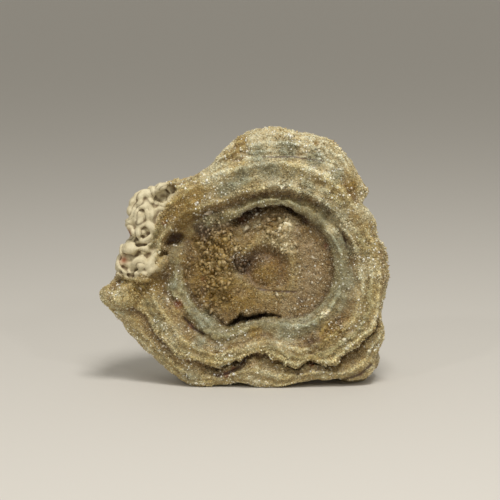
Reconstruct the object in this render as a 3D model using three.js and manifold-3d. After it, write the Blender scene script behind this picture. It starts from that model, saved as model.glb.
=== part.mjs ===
// A chalcedony rose, 80 mm wide: one natural piece of banded chalcedony that stands on its lower edge.
// Its face has terraced growth ridges round an off-centre bowl, its left edge and back are a lumpy rind.
// Lengths are in millimetres, +Z is up and the face looks along -Y.
// The origin is on the ground, under the middle of the box.
// Places on the face are given from the bowl's centre: an angle in degrees (0 is +X, 90 is +Z), a radius,
// and a depth that is counted towards the viewer from the plane of the rim.
import * as THREE from "three";
import { mergeVertices } from "three/addons/utils/BufferGeometryUtils.js";
import Module from "manifold-3d";

// Driving dimensions
const BOWL_X = 4.65;
const BOWL_Z = 33.3;
const RIM_Y = -9.55;
const CENTRE_SHIFT = -0.995;
const BACK_DEPTH = -25.0;
const FACET_FRONT = 1.7;
const FACET_BACK = 2.3;
const DRUSE_GRAIN = 0.24;
const SMALL_KNOB = 3.5;
const KNOB_RIND = 0.7;
const SIDE_RIND = 0.3;
const FLAT_CUT_HEIGHT = 20;
const MERGE_DISTANCE = 0.001;
const LINE_PULL = 0.75;
const LUMP_MIDDLE = 0.7;
const LEAN = 0.16;
const UP_STRETCH = 1.0125;
const TOP_LEAN_REACH = 12;

// Colour and finish
const STONE = new THREE.MeshStandardMaterial({ color: 0x9c8a6c, roughness: 0.55, metalness: 0.0 });

// The silhouette, [angle, radius], anticlockwise from the right-hand side.
const OUTLINE = [
  [0, 35.1], [7, 35.0], [12, 34.6], [15, 33.2], [18, 33.5], [23, 34.2], [29, 33.8], [33, 33.4],
  [36, 36.5], [40, 36.9], [45, 37.5], [50, 38.8], [55, 39.5], [60, 40.0], [64, 40.1], [69, 39.5],
  [75, 39.0], [83, 39.3], [90, 38.9], [95, 38.3], [100, 37.1], [105, 35.2], [110, 33.7], [115, 32.4],
  [120, 32.0], [126, 31.8], [131, 33.0], [135, 34.8], [140, 36.7], [144, 37.7], [147, 39.2], [150, 39.8],
  [155, 39.8], [160, 39.4], [163, 39.2], [166, 37.6], [169, 38.6], [172, 39.8], [176, 40.7], [181, 40.9],
  [184, 41.8], [187, 44.2], [190, 45.3], [192, 45.1], [194, 44.3], [197, 43.6], [201, 42.2], [205, 41.8],
  [210, 40.4], [217, 39.6], [224, 39.0], [232, 38.5], [240, 38.1], [244, 36.6], [248, 35.2], [255, 33.2],
  [259, 32.3], [266, 32.9], [272, 33.2], [280, 33.3], [286, 33.3], [290, 33.5], [295, 34.4], [300, 35.8],
  [305, 37.6], [308, 40.0], [312, 42.0], [316, 42.4], [319, 42.3], [321, 40.8], [325, 40.0], [330, 39.3],
  [334, 38.3], [339, 35.7], [345, 35.0], [350, 35.1], [356, 35.4],
];

// The growth lines of the face from the bowl outwards, [angle, radius, depth]. A high steps value samples
// the slope between a line and the next one more finely.
const FACE_LINES = [
  {
    name: "dome groove", steps: 1,
    points: [
      [0, 5.6, -0.6], [40, 5.4, -0.8], [80, 4.8, -0.9], [120, 4.2, -1.3], [160, 4.0, -1.8],
      [180, 4.4, -1.9], [205, 3.8, -1.2], [240, 4.0, -0.2], [270, 4.6, 0.2], [300, 5.0, 0.2],
      [330, 5.6, -0.2],
    ],
  },
  {
    name: "crystal ridge", steps: 2,
    points: [
      [0, 8.4, 0.2], [20, 8.6, 0.7], [45, 8.4, 1.2], [70, 8.0, 1.2], [90, 7.4, 0.8], [120, 7.0, 0.2],
      [150, 6.8, -0.3], [180, 6.8, -0.4], [210, 6.4, 0.3], [240, 5.8, 0.8], [255, 5.5, 1.0],
      [270, 5.6, 1.1], [291, 6.2, 1.1], [309, 8.0, 0.9], [322, 9.6, 0.7], [335, 9.2, 0.4],
      [348, 8.6, 0.2],
    ],
  },
  {
    name: "bowl floor", steps: 3,
    points: [
      [0, 15.2, -0.7], [30, 14.8, -0.8], [45, 14.4, -0.4], [60, 14.4, -0.3], [75, 13.6, -0.8],
      [90, 12.2, -1.2], [105, 11.2, -1.4], [120, 10.8, -1.1], [140, 12.8, -0.8], [160, 15.0, -1.4],
      [180, 15.6, -1.6], [200, 15.4, -1.0], [215, 14.8, -0.7], [228, 14.0, 0.1], [238, 12.6, 0.8],
      [246, 11.2, 1.3], [258, 11.0, 1.6], [270, 10.6, 1.7], [283, 11.2, 1.6], [295, 12.6, 1.0],
      [310, 14.0, 0.4], [325, 15.0, -0.1], [345, 15.2, -0.5],
    ],
  },
  {
    name: "floor edge", steps: 1,
    points: [
      [0, 18.4, -0.9], [30, 18.0, -1.0], [45, 17.3, -1.1], [62, 17.0, -1.4], [68, 17.4, -1.6],
      [80, 16.2, -1.7], [90, 15.3, -1.8], [100, 14.7, -1.9], [110, 13.9, -1.8], [119, 13.2, -1.4],
      [126, 13.8, -1.0], [135, 15.4, -0.8], [150, 18.0, -0.6], [160, 19.2, -1.0], [175, 20.0, -1.1],
      [190, 20.2, -0.8], [205, 19.6, -0.6], [220, 18.4, -0.9], [232, 18.0, -0.2], [237, 18.2, 0.3],
      [239.5, 16.8, 0.7], [242, 15.5, 0.9], [245.5, 13.3, 1.2], [248, 13.6, 1.3], [251, 13.8, 1.4],
      [258.7, 13.0, 1.6], [270, 12.3, 1.7], [277, 12.3, 1.7], [285, 13.0, 1.5], [295, 14.6, 0.8],
      [310, 16.4, 0.2], [330, 17.8, -0.4], [345, 18.3, -0.8],
    ],
  },
  {
    name: "gap", steps: 1,
    points: [
      [0, 19.2, -0.9], [30, 18.8, -1.0], [42, 18.1, -1.4], [50, 18.2, -2.6], [62, 18.3, -4.5],
      [68, 18.8, -4.5], [76, 18.0, -2.8], [84, 17.3, -3.2], [90, 17.2, -4.2], [100, 16.8, -4.8],
      [110, 16.3, -4.6], [119, 15.4, -3.4], [126, 15.4, -1.3], [135, 16.6, -0.9], [150, 19.0, -0.8],
      [160, 20.2, -1.3], [175, 21.0, -1.4], [190, 21.2, -1.0], [205, 20.4, -0.9], [220, 19.2, -1.3],
      [232, 18.6, -1.0], [237, 18.6, -1.0], [240, 17.6, -4.0], [244, 15.6, -5.2], [250, 14.8, -5.4],
      [259, 13.8, -4.8], [270, 12.9, -4.4], [277, 12.7, -3.4], [285, 13.2, -0.4], [292, 14.4, 0.3],
      [310, 16.8, 0.0], [330, 18.3, -0.5], [345, 19.0, -0.8],
    ],
  },
  {
    name: "roll edge", steps: 1,
    points: [
      [0, 20.2, 0.3], [30, 19.8, 0.4], [45, 18.9, 0.9], [56, 18.3, 1.3], [62, 18.1, 1.5],
      [68, 18.5, 1.5], [76, 18.1, 1.4], [84, 17.4, 1.4], [90, 17.1, 1.3], [100, 16.4, 1.2],
      [110, 16.0, 1.0], [119, 15.9, 0.6], [126, 16.4, -0.4], [135, 17.6, -0.6], [150, 20.2, -0.8],
      [160, 21.6, -1.2], [170, 22.2, -1.2], [180, 22.0, -1.0], [190, 22.0, -0.6], [205, 21.2, -0.2],
      [220, 20.2, 0.5], [232, 19.4, 0.8], [238, 19.0, 0.9], [241, 18.1, 1.2], [245, 16.8, 1.4],
      [250, 15.7, 1.6], [260, 14.5, 1.8], [270, 13.5, 1.8], [277, 13.3, 1.8], [285, 13.9, 1.6],
      [295, 15.4, 1.2], [310, 17.6, 0.9], [330, 19.4, 0.4], [345, 20.0, 0.2],
    ],
  },
  {
    name: "inner roll", steps: 2,
    points: [
      [0, 22.0, 1.6], [15, 21.8, 1.6], [30, 21.4, 1.7], [45, 21.1, 1.9], [60, 20.3, 2.1],
      [75, 19.7, 2.1], [90, 18.8, 2.0], [105, 17.8, 1.8], [120, 17.6, 1.0], [135, 19.4, 0.1],
      [150, 21.8, -0.7], [160, 22.8, -1.3], [170, 23.4, -1.2], [180, 23.4, -0.6], [190, 24.0, 0.0],
      [200, 23.6, 0.4], [210, 22.8, 1.0], [225, 22.0, 1.5], [240, 20.8, 2.0], [250, 18.2, 2.4],
      [260, 16.3, 2.7], [270, 15.5, 2.8], [280, 15.9, 2.8], [290, 17.2, 2.6], [300, 18.6, 2.4],
      [315, 20.2, 2.0], [330, 21.8, 1.7], [345, 22.2, 1.6],
    ],
  },
  {
    name: "roll groove", steps: 1,
    points: [
      [0, 24.3, 0.9], [15, 24.2, 0.8], [30, 23.9, 0.6], [45, 23.5, 0.5], [60, 22.1, 0.5],
      [75, 21.1, 0.5], [90, 20.3, 0.5], [105, 19.5, 0.6], [120, 19.6, 0.4], [135, 21.2, -0.2],
      [148, 23.6, -1.0], [156, 24.4, -4.0], [162, 25.6, -6.0], [168, 26.4, -4.0], [175, 26.0, -2.2],
      [182, 25.8, -1.8], [190, 27.4, -1.4], [196, 27.4, -1.0], [203, 25.5, 0.1], [210, 25.1, 0.3],
      [217, 25.6, 0.3], [225, 25.0, 0.5], [235, 24.6, 1.2], [242, 24.0, 1.8], [248, 21.8, 2.2],
      [255, 19.7, 2.4], [265, 18.1, 2.7], [275, 17.9, 2.7], [285, 20.0, 2.3], [295, 21.8, 1.9],
      [305, 23.0, 1.7], [315, 23.6, 1.7], [330, 25.0, 1.4], [345, 25.0, 1.1],
    ],
  },
  {
    name: "middle crest", steps: 2,
    points: [
      [0, 26.6, 2.4], [15, 26.0, 2.6], [30, 25.5, 3.0], [45, 25.0, 3.4], [60, 24.1, 3.8],
      [75, 22.9, 4.0], [90, 22.2, 3.9], [105, 21.3, 3.4], [120, 21.5, 2.9], [135, 24.0, 2.6],
      [150, 27.0, 2.4], [160, 28.2, 2.0], [170, 29.0, 1.6], [180, 28.8, 1.6], [190, 30.4, 1.5],
      [200, 30.6, 1.9], [210, 29.6, 2.2], [225, 29.2, 2.6], [240, 27.0, 3.2], [250, 24.2, 3.6],
      [260, 21.6, 4.0], [270, 20.3, 4.0], [280, 20.8, 3.8], [290, 23.4, 3.5], [300, 25.0, 3.3],
      [315, 26.8, 3.2], [330, 28.8, 2.9], [345, 28.0, 2.5],
    ],
  },
  {
    name: "shelf", steps: 2,
    points: [
      [0, 29.5, 2.1], [15, 28.4, 2.2], [30, 27.8, 2.4], [45, 27.4, 2.6], [60, 26.8, 2.9],
      [75, 26.0, 3.0], [90, 25.6, 2.9], [105, 24.6, 2.4], [120, 24.8, 2.0], [135, 27.0, 2.2],
      [150, 29.8, 2.0], [160, 30.6, 1.7], [170, 31.0, 1.4], [180, 31.0, 1.4], [190, 32.4, 1.2],
      [200, 32.6, 1.6], [210, 32.2, 2.1], [225, 31.8, 2.7], [240, 28.6, 3.4], [250, 25.8, 3.9],
      [260, 22.8, 4.2], [270, 21.5, 4.2], [280, 22.6, 4.0], [290, 26.0, 4.0], [300, 27.2, 3.8],
      [315, 29.8, 3.4], [330, 31.8, 2.8], [345, 30.5, 2.2],
    ],
  },
  {
    name: "outer crest", steps: 1,
    points: [
      [0, 32.0, 1.8], [15, 31.0, 2.0], [30, 30.6, 2.4], [45, 30.4, 3.1], [60, 30.0, 3.5],
      [75, 29.3, 3.6], [90, 28.8, 3.5], [105, 28.4, 2.9], [120, 28.9, 1.7], [135, 30.4, 1.7],
      [150, 33.0, 1.4], [165, 33.4, 1.2], [180, 34.2, 1.1], [190, 36.6, 0.8], [196, 35.0, 1.2],
      [203, 34.0, 1.9], [216, 33.3, 2.6], [224, 33.2, 3.0], [230, 31.4, 3.3], [240, 29.7, 3.7],
      [252, 26.5, 4.1], [259, 24.1, 4.2], [265, 22.9, 4.2], [271, 22.4, 4.2], [276, 23.5, 4.2],
      [285, 26.6, 4.1], [290, 28.2, 4.1], [297, 27.9, 4.0], [303, 30.6, 3.9], [309, 32.2, 3.8],
      [317, 32.2, 3.5], [326, 33.4, 3.0], [331, 34.2, 2.7], [338, 33.9, 2.2], [346, 32.6, 1.9],
    ],
  },
  {
    name: "lip", steps: 2,
    points: [
      [0, 33.4, 1.1], [15, 32.3, 1.3], [27, 32.6, 1.3], [33, 32.2, 1.4], [38, 31.7, 1.8],
      [45, 32.2, 2.2], [52, 33.6, 2.3], [60, 33.4, 2.5], [75, 31.5, 2.6], [90, 30.5, 2.6],
      [105, 30.1, 2.1], [113, 30.4, 1.4], [122, 30.4, 0.8], [135, 32.6, 0.8], [150, 37.0, 0.5],
      [165, 36.2, 0.3], [180, 38.2, 0.1], [190, 41.6, -0.3], [194, 39.8, -0.1], [198, 36.6, 0.6],
      [203, 35.0, 1.3], [208, 35.0, 1.7], [216, 34.4, 2.0], [224, 34.4, 2.3], [230, 32.5, 2.6],
      [240, 30.7, 2.9], [246, 29.8, 3.1], [252, 27.4, 3.2], [259, 24.9, 3.4], [265, 23.7, 3.4],
      [271, 23.1, 3.4], [276, 24.3, 3.4], [281, 25.5, 3.4], [285, 27.5, 3.4], [289, 29.1, 3.4],
      [293, 28.8, 3.3], [297, 28.6, 3.2], [300, 29.6, 3.2], [303, 31.5, 3.1], [309, 33.2, 3.0],
      [312, 32.7, 2.9], [317, 33.0, 2.8], [321, 34.0, 2.6], [326, 34.4, 2.3], [331, 35.2, 1.9],
      [338, 34.8, 1.5], [346, 33.6, 1.2],
    ],
  },
];

// How far the slit under the lip goes in, [angle, depth below the lip].
const SLIT_DEPTH = [
  [0, 0.1], [33, 0.3], [45, 0.5], [60, 0.4], [90, 0.3], [120, 0.2], [160, 0.2], [190, 0.2], [200, 0.5],
  [220, 0.6], [238, 0.9], [245, 3.6], [252, 5.0], [258, 3.4], [264, 2.2], [280, 2.4], [290, 3.0],
  [297, 5.4], [303, 4.4], [311, 3.4], [320, 3.6], [330, 2.8], [336, 1.4], [346, 0.3],
];

// The depth of the crest of the band that lies between the lip and the rim, [angle, depth].
const BAND_DEPTH = [
  [0, 0.2], [20, 0.4], [33, 0.4], [40, 1.2], [60, 1.8], [90, 2.0], [105, 1.5], [117, 0.5], [135, 0.2],
  [165, 0.0], [180, -0.1], [190, -0.8], [198, 0.2], [210, 0.9], [225, 1.4], [240, 2.0], [250, 2.4],
  [262, 2.8], [275, 3.0], [290, 2.8], [300, 2.4], [315, 1.8], [328, 1.2], [338, 0.7], [350, 0.3],
];

// The depth of the rim, where the silhouette is widest, [angle, depth].
const RIM_DEPTH = [
  [0, -3.0], [60, -2.0], [90, -1.8], [120, -3.0], [150, -3.0], [180, -3.5], [195, -3.5], [215, -2.5],
  [240, -0.4], [255, 0.6], [270, 1.2], [285, 1.2], [300, 0.4], [315, -1.2], [330, -2.0], [345, -3.0],
];

// The depth of the back halfway between its middle and its edge, [angle, depth].
const BACK_SWELL = [
  [0, -21.5], [45, -19.0], [80, -18.5], [115, -19.5], [150, -15.5], [180, -17.0], [225, -23.0],
  [270, -24.5], [315, -24.0],
];

// The back, [share of the outline's radius, share of the way from the rim to the back, steps].
const BACK_LINES = [
  [1.005, 0.16, 1], [1.0, 0.34, 1], [0.965, 0.54, 1], [0.88, 0.73, 2], [0.74, 0.87, 2], [0.56, 0.95, 3],
  [0.36, 0.985, 2], [0.17, 1.0, 2],
];

// Where the stone stands it keeps its outline further back.
const FOOT = { angle: 270, halfWidth: 44, kept: 0.8 };

// Low swellings and pits of the face, [angle, radius, size, height].
const SWELLINGS = [
  [0, 0.6, 4.2, 1.0], [200, 12.0, 3.0, 0.7], [150, 11.5, 3.4, 0.9], [172, 10.0, 2.6, 0.7],
  [62, 12.0, 3.0, 0.9], [238, 10.6, 2.2, 0.5], [262, 27.4, 3.4, 1.6], [108, 34.0, 3.2, 0.9],
  [222, 31.2, 3.4, 0.4], [197, 31.4, 3.4, 0.6], [139, 33.4, 1.6, -2.4], [143.5, 34.2, 1.9, -3.2],
  [148, 35.2, 1.7, -2.6], [165.0, 38.2, 2.0, -3.0], [167, 33.6, 1.8, -2.0], [36, 34.8, 1.3, -1.2],
  [172, 27.6, 1.3, -1.4], [236, 35.0, 3.0, 0.5], [318, 36.5, 3.0, -0.6],
];

// Round knobs grown on the stone: the rind's two clusters on the left edge, the lobe under them, and the
// foot at the lower right that touches the ground behind the rim. Places are from the bowl's centre.
const KNOBS = [
  { at: [-30.8, -2.2, 14.0], half: [4.6, 3.8, 5.8], turn: 12 },
  { at: [-34.0, -2.6, 16.0], half: [2.6, 2.8, 3.9], turn: -8 },
  { at: [-33.4, -3.0, 6.0], half: [4.6, 3.4, 2.8], turn: -15 },
  { at: [-33.4, -2.4, 1.6], half: [6.0, 4.2, 3.6], turn: 0 },
  { at: [-38.9, -2.4, -7.0], half: [6.0, 4.9, 4.1], turn: 6 },
  { at: [25.0, -9.8, -26.2], half: [8.6, 7.4, 6.9], turn: 0 },
  { at: [-32.6, 0.0, 20.2], half: [2.5, 2.0, 1.5], turn: 20 },
  { at: [-30.4, -0.4, 21.4], half: [1.8, 1.8, 1.1], turn: 30 },
  { at: [-26.8, -0.2, 23.0], half: [4.6, 1.9, 0.9], turn: 24 },
  { at: [-32.0, 0.9, 17.8], half: [2.4, 1.9, 1.8], turn: 8 },
  { at: [-35.5, -0.4, 15.4], half: [1.5, 2.0, 2.3], turn: 0 },
  { at: [-34.0, 0.6, 15.2], half: [1.3, 1.9, 2.0], turn: 10 },
  { at: [-33.6, 0.8, 12.9], half: [1.9, 2.0, 1.6], turn: 0 },
  { at: [-34.0, 0.8, 10.2], half: [1.9, 1.9, 1.4], turn: -8 },
  { at: [-29.6, 1.4, 11.4], half: [0.9, 1.4, 2.2], turn: 22 },
  { at: [-36.1, 0.8, 5.5], half: [1.9, 1.6, 1.1], turn: 14 },
  { at: [-38.3, -0.8, 5.4], half: [0.9, 1.6, 1.8], turn: -20 },
  { at: [-29.4, 0.8, 4.0], half: [1.1, 1.5, 2.2], turn: -30 },
  { at: [-33.6, 1.9, 1.7], half: [2.1, 1.9, 1.7], turn: 0 },
  { at: [-31.0, 1.5, 1.4], half: [1.0, 1.6, 2.0], turn: -20 },
  { at: [-27.0, 1.0, 1.6], half: [1.2, 1.6, 3.0], turn: -38 },
];

// The lumps of the rind, by size of cell and by height.
const RIND_LUMPS = [
  { cell: 9.5, height: 2.6 },
  { cell: 4.6, height: 1.0 },
];

const radians = (degrees) => (degrees * Math.PI) / 180;
const clamp01 = (v) => Math.min(1, Math.max(0, v));
const smooth = (v) => clamp01(v) ** 2 * (3 - 2 * clamp01(v));

// A repeatable number from 0 to 1 for three whole numbers.
function hash(i, j, k, salt) {
  const v = Math.sin(i * 127.1 + j * 311.7 + k * 74.7 + salt * 53.3) * 43758.5453;
  return v - Math.floor(v);
}

function hermite(before, from, to, after, t, pull = 1) {
  const [m0, m1] = [((to - before) * pull) / 2, ((after - from) * pull) / 2];
  return from + t * (m0 + t * (3 * (to - from) - 2 * m0 - m1 + t * (2 * (from - to) + m0 + m1)));
}

// The value at an angle of a closed table whose rows start with their own angle.
function around(table, column, degrees) {
  const n = table.length;
  const d = ((degrees % 360) + 360) % 360;
  let i = table.findIndex((row) => row[0] > d) - 1;
  if (i < 0) i = n - 1;
  const row = (k) => table[(i + k + n) % n];
  const span = (row(1)[0] - row(0)[0] + 360) % 360;
  const t = ((d - row(0)[0] + 360) % 360) / span;
  return hermite(row(-1)[column], row(0)[column], row(1)[column], row(2)[column], t);
}

// The outline without its bays and corners, which fade out towards the middle of the back.
function roundedOutline(degrees) {
  const turns = [-60, -45, -30, -15, 0, 15, 30, 45, 60];
  return turns.reduce((sum, turn) => sum + around(OUTLINE, 1, degrees + turn), 0) / turns.length;
}

// The stone's section on one ray from the bowl: [radius, depth] where each line crosses it, front to back.
function section(degrees) {
  const outline = around(OUTLINE, 1, degrees);
  const points = [[0, 0]];
  for (const line of FACE_LINES) {
    points.push([around(line.points, 1, degrees), around(line.points, 2, degrees)]);
  }
  const [lipRadius, lipDepth] = points[points.length - 1];
  const slit = Math.max(0, around(SLIT_DEPTH, 1, degrees));
  const band = around(BAND_DEPTH, 1, degrees);
  const rimDepth = around(RIM_DEPTH, 1, degrees);
  const width = outline - lipRadius;
  points.push([lipRadius + 0.25 - 0.16 * slit, lipDepth - slit]);
  points.push([lipRadius + 0.2 * width, Math.max(lipDepth - slit, band - 1.2) - 0.1]);
  points.push([lipRadius + 0.55 * width, band]);
  points.push([lipRadius + 0.86 * width, 0.6 * band + 0.4 * rimDepth]);
  points.push([outline, rimDepth]);
  const foot = smooth(1 - Math.abs(((degrees - FOOT.angle + 540) % 360) - 180) / FOOT.halfWidth);
  const swell = around(BACK_SWELL, 1, degrees);
  const rounded = roundedOutline(degrees);
  for (const [share, way] of BACK_LINES) {
    const kept = share + (1 - share) * FOOT.kept * foot * smooth((1 - way) / 0.5);
    const radius = rounded + (outline - rounded) * smooth((share - 0.3) / 0.7);
    const back = BACK_DEPTH + (swell - BACK_DEPTH) * smooth(share / 0.8);
    points.push([radius * kept, rimDepth + (back - rimDepth) * way]);
  }
  points.push([0, BACK_DEPTH]);
  return points;
}

// How many samples lie between a line of the section and the next one.
const FACE_STEPS = FACE_LINES.map((line) => line.steps);
const STEPS = [3, ...FACE_STEPS, 1, 1, 2, 1, 1, ...BACK_LINES.map((line) => line[2])];

// A point of the section between its lines.
function sectionPoint(points, i, t) {
  const at = (k) => points[Math.min(points.length - 1, Math.max(0, k))];
  return [0, 1].map((c) => hermite(at(i - 1)[c], at(i)[c], at(i + 1)[c], at(i + 2)[c], t, LINE_PULL));
}

// What the swellings and pits add to the depth at a place on the face.
function swellingAt(x, z) {
  let depth = 0;
  for (const [degrees, radius, size, height] of SWELLINGS) {
    const dx = x - radius * Math.cos(radians(degrees));
    const dz = z - radius * Math.sin(radians(degrees));
    depth += height * Math.sqrt(Math.max(0, 1 - (dx * dx + dz * dz) / (size * size)));
  }
  return depth;
}

// 1 on the lumpy rind of the left edge, the sides and the back, and 0 on the crystals of the face.
function rindAt(degrees, radius, depth, outline) {
  const left = smooth((15 - Math.abs(degrees - 160)) / 9) * smooth((radius - 30.8) / 2);
  const lowerLeft = smooth((9 - Math.abs(degrees - 176)) / 5) * smooth((radius - 28.5) / 2);
  const side = SIDE_RIND * smooth((-2.5 - depth) / 3) * smooth((radius / outline - 0.5) / 0.3);
  const back = smooth((-9 - depth) / 7);
  return Math.max(left, lowerLeft, side, back);
}

// Rounded lumps from a jittered lattice, 0 in the creases and 1 on a crown.
function lumpsAt(x, y, z, cell, salt) {
  const [i, j, k] = [x, y, z].map((v) => Math.floor(v / cell));
  let best = 0;
  for (let n = 0; n < 27; n += 1) {
    const [a, b, c] = [i - 1 + (n % 3), j - 1 + (Math.floor(n / 3) % 3), k - 1 + Math.floor(n / 9)];
    const away = Math.hypot(
      x - (a + hash(a, b, c, salt)) * cell,
      y - (b + hash(a, b, c, salt + 1)) * cell,
      z - (c + hash(a, b, c, salt + 2)) * cell,
    );
    best = Math.max(best, 1 - (away / cell) ** 2);
  }
  return best;
}

// The photo was read from a little above, so what stands forward also stands a little higher.
function stonePlace(x, depth, z, reach) {
  const lift = LEAN * Math.min(8, Math.max(-reach, depth));
  return new THREE.Vector3(x + BOWL_X, RIM_Y - depth, z * UP_STRETCH + lift + BOWL_Z);
}

// One closed ring of the surface: its points, and how much rind and how much crystal each one has.
function ring(line, t, facet) {
  const probe = sectionPoint(section(45), line, t)[0];
  const count = probe < 0.3 ? 1 : Math.max(8, Math.round((2 * Math.PI * probe) / facet));
  const points = [];
  for (let i = 0; i < count; i += 1) {
    const degrees = (360 * i) / count;
    const [radius, depth] = sectionPoint(section(degrees), line, t);
    const x = radius * Math.cos(radians(degrees));
    const z = radius * Math.sin(radians(degrees));
    const front = line < STEPS.length - BACK_LINES.length - 1;
    const raised = depth + (front ? swellingAt(x, z) : 0);
    const reach = 4 + (TOP_LEAN_REACH - 4) * smooth(Math.sin(radians(degrees)));
    points.push({
      position: stonePlace(x, raised, z, reach),
      rind: rindAt(degrees, radius, depth, around(OUTLINE, 1, degrees)),
    });
  }
  return points;
}

// Triangles between two neighbouring rings, which may differ in number of points.
function stitch(first, firstStart, second, secondStart, faces) {
  let [i, j] = [0, 0];
  const a = (k) => firstStart + (k % first.length);
  const b = (k) => secondStart + (k % second.length);
  while (i < first.length || j < second.length) {
    const firstIsNext = (i + 1) / first.length <= (j + 1) / second.length;
    const takeFirst = j >= second.length || (i < first.length && firstIsNext);
    if (takeFirst && first.length > 1) faces.push(a(i), b(j), a(i + 1));
    if (!takeFirst && second.length > 1) faces.push(a(i), b(j), b(j + 1));
    if (takeFirst) i += 1;
    else j += 1;
  }
}

// Raises each point along its normal: lumps where it is rind, crystal grain where it isn't.
function roughen(surface, rinds) {
  surface.computeVertexNormals();
  const positions = surface.getAttribute("position");
  const normals = surface.getAttribute("normal");
  const raised = rinds.map((rind, v) => {
    const p = new THREE.Vector3().fromBufferAttribute(positions, v);
    let raise = (1 - rind) * DRUSE_GRAIN * (2 * hash(v, 3, 5, 7) - 1);
    RIND_LUMPS.forEach(({ cell, height }, n) => {
      raise += rind * height * (lumpsAt(p.x, p.y, p.z, cell, 11 * n) - LUMP_MIDDLE);
    });
    return p.addScaledVector(new THREE.Vector3().fromBufferAttribute(normals, v), raise);
  });
  return new THREE.BufferGeometry().setFromPoints(raised).setIndex(surface.getIndex());
}

// The closed surface of the stone without its knobs.
function stoneSurface() {
  const rings = [];
  STEPS.forEach((steps, line) => {
    const facet = line <= FACE_LINES.length + 4 ? FACET_FRONT : FACET_BACK;
    for (let s = 0; s < steps; s += 1) rings.push(ring(line, s / steps, facet));
  });
  rings.push(ring(STEPS.length, 0, FACET_BACK));
  const vertices = rings.flat();
  const faces = [];
  let start = 0;
  for (let r = 0; r + 1 < rings.length; r += 1) {
    stitch(rings[r], start, rings[r + 1], start + rings[r].length, faces);
    start += rings[r].length;
  }
  const surface = new THREE.BufferGeometry().setFromPoints(vertices.map((v) => v.position));
  surface.setIndex(faces);
  return roughen(surface, vertices.map((v) => v.rind));
}

// A rounded knob with the rind's lumps on it.
function knob({ at: [x, depth, z], half: [halfX, halfY, halfZ], turn }) {
  const detail = Math.max(halfX, halfZ) > SMALL_KNOB ? 3 : 2;
  const ball = new THREE.IcosahedronGeometry(1, detail);
  ball.deleteAttribute("normal");
  ball.deleteAttribute("uv");
  const surface = mergeVertices(ball, MERGE_DISTANCE);
  surface.scale(halfX, halfY, halfZ);
  surface.rotateY(radians(-turn));
  surface.translate(...stonePlace(x, depth, z, 4).toArray());
  const rinds = new Array(surface.getAttribute("position").count).fill(KNOB_RIND);
  return roughen(surface, rinds);
}

// Boolean work on closed meshes
const wasm = await Module();
wasm.setup();

function toSolid(geometry) {
  const positions = new THREE.BufferGeometry().setAttribute("position", geometry.getAttribute("position"));
  positions.setIndex(geometry.getIndex());
  const merged = mergeVertices(positions, MERGE_DISTANCE);
  return new wasm.Manifold(
    new wasm.Mesh({
      numProp: 3,
      vertProperties: merged.getAttribute("position").array,
      triVerts: new Uint32Array(merged.getIndex().array),
    }),
  );
}

function toGeometry(solid) {
  const mesh = solid.getMesh();
  const geometry = new THREE.BufferGeometry();
  geometry.setAttribute("position", new THREE.BufferAttribute(mesh.vertProperties, 3));
  geometry.setIndex(new THREE.BufferAttribute(mesh.triVerts, 1));
  geometry.computeVertexNormals();
  return geometry;
}

// The worn flat spots that the stone rests on: everything below the surface it stands on is taken off.
function cutFlat(solid) {
  const block = new THREE.BoxGeometry(200, 200, FLAT_CUT_HEIGHT).translate(0, 0, -FLAT_CUT_HEIGHT / 2);
  return solid.subtract(toSolid(block));
}

// Joining rough surfaces can leave a crumb that hangs on by a point. Merging the points once more frees it,
// and only the largest piece is kept.
function withoutCrumbs(solid) {
  const pieces = toSolid(toGeometry(solid)).decompose();
  return pieces.reduce((largest, piece) => (piece.volume() > largest.volume() ? piece : largest));
}

function buildRose() {
  const stone = KNOBS.reduce((solid, shape) => solid.add(toSolid(knob(shape))), toSolid(stoneSurface()));
  const geometry = toGeometry(withoutCrumbs(cutFlat(stone)));
  // The finished stone is moved so that the middle of its box is over the origin.
  geometry.translate(0, CENTRE_SHIFT, 0);
  const mesh = new THREE.Mesh(geometry, STONE);
  mesh.name = "chalcedony_rose";
  return mesh;
}

const rose = new THREE.Group();
rose.add(buildRose());

export default rose;
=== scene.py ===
# %% [markdown]
# # A chalcedony rose
# The real thing is one stone. Chalcedony grew in terraces round a hollow, and later a crust of tiny quartz
# crystals covered the face. This lesson builds it in four steps: the growth lines of the face, one fine
# closed surface through them, thousands of small crystals standing on that surface, and the colours of the
# bands.

import math

import bpy
import numpy as np
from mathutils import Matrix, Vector
from mathutils.kdtree import KDTree


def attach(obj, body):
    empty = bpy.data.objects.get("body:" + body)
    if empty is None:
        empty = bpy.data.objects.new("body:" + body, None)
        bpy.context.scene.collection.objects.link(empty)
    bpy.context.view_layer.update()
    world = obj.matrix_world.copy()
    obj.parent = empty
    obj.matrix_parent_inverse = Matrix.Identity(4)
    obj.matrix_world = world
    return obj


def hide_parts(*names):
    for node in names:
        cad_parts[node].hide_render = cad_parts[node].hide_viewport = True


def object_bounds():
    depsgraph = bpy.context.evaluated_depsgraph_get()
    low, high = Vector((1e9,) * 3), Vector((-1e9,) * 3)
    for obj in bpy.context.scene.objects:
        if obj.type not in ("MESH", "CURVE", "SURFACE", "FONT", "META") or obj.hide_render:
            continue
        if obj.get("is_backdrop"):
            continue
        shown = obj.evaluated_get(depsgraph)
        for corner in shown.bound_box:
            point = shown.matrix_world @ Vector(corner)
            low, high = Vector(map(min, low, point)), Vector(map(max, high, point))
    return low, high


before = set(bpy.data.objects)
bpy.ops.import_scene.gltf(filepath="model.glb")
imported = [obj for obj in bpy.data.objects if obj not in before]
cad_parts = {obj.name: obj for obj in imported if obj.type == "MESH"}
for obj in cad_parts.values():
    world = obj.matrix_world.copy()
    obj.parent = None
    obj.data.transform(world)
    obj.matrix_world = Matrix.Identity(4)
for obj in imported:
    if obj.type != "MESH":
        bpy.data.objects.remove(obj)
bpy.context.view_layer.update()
MM = 0.001
NODE = "chalcedony_rose"

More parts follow.
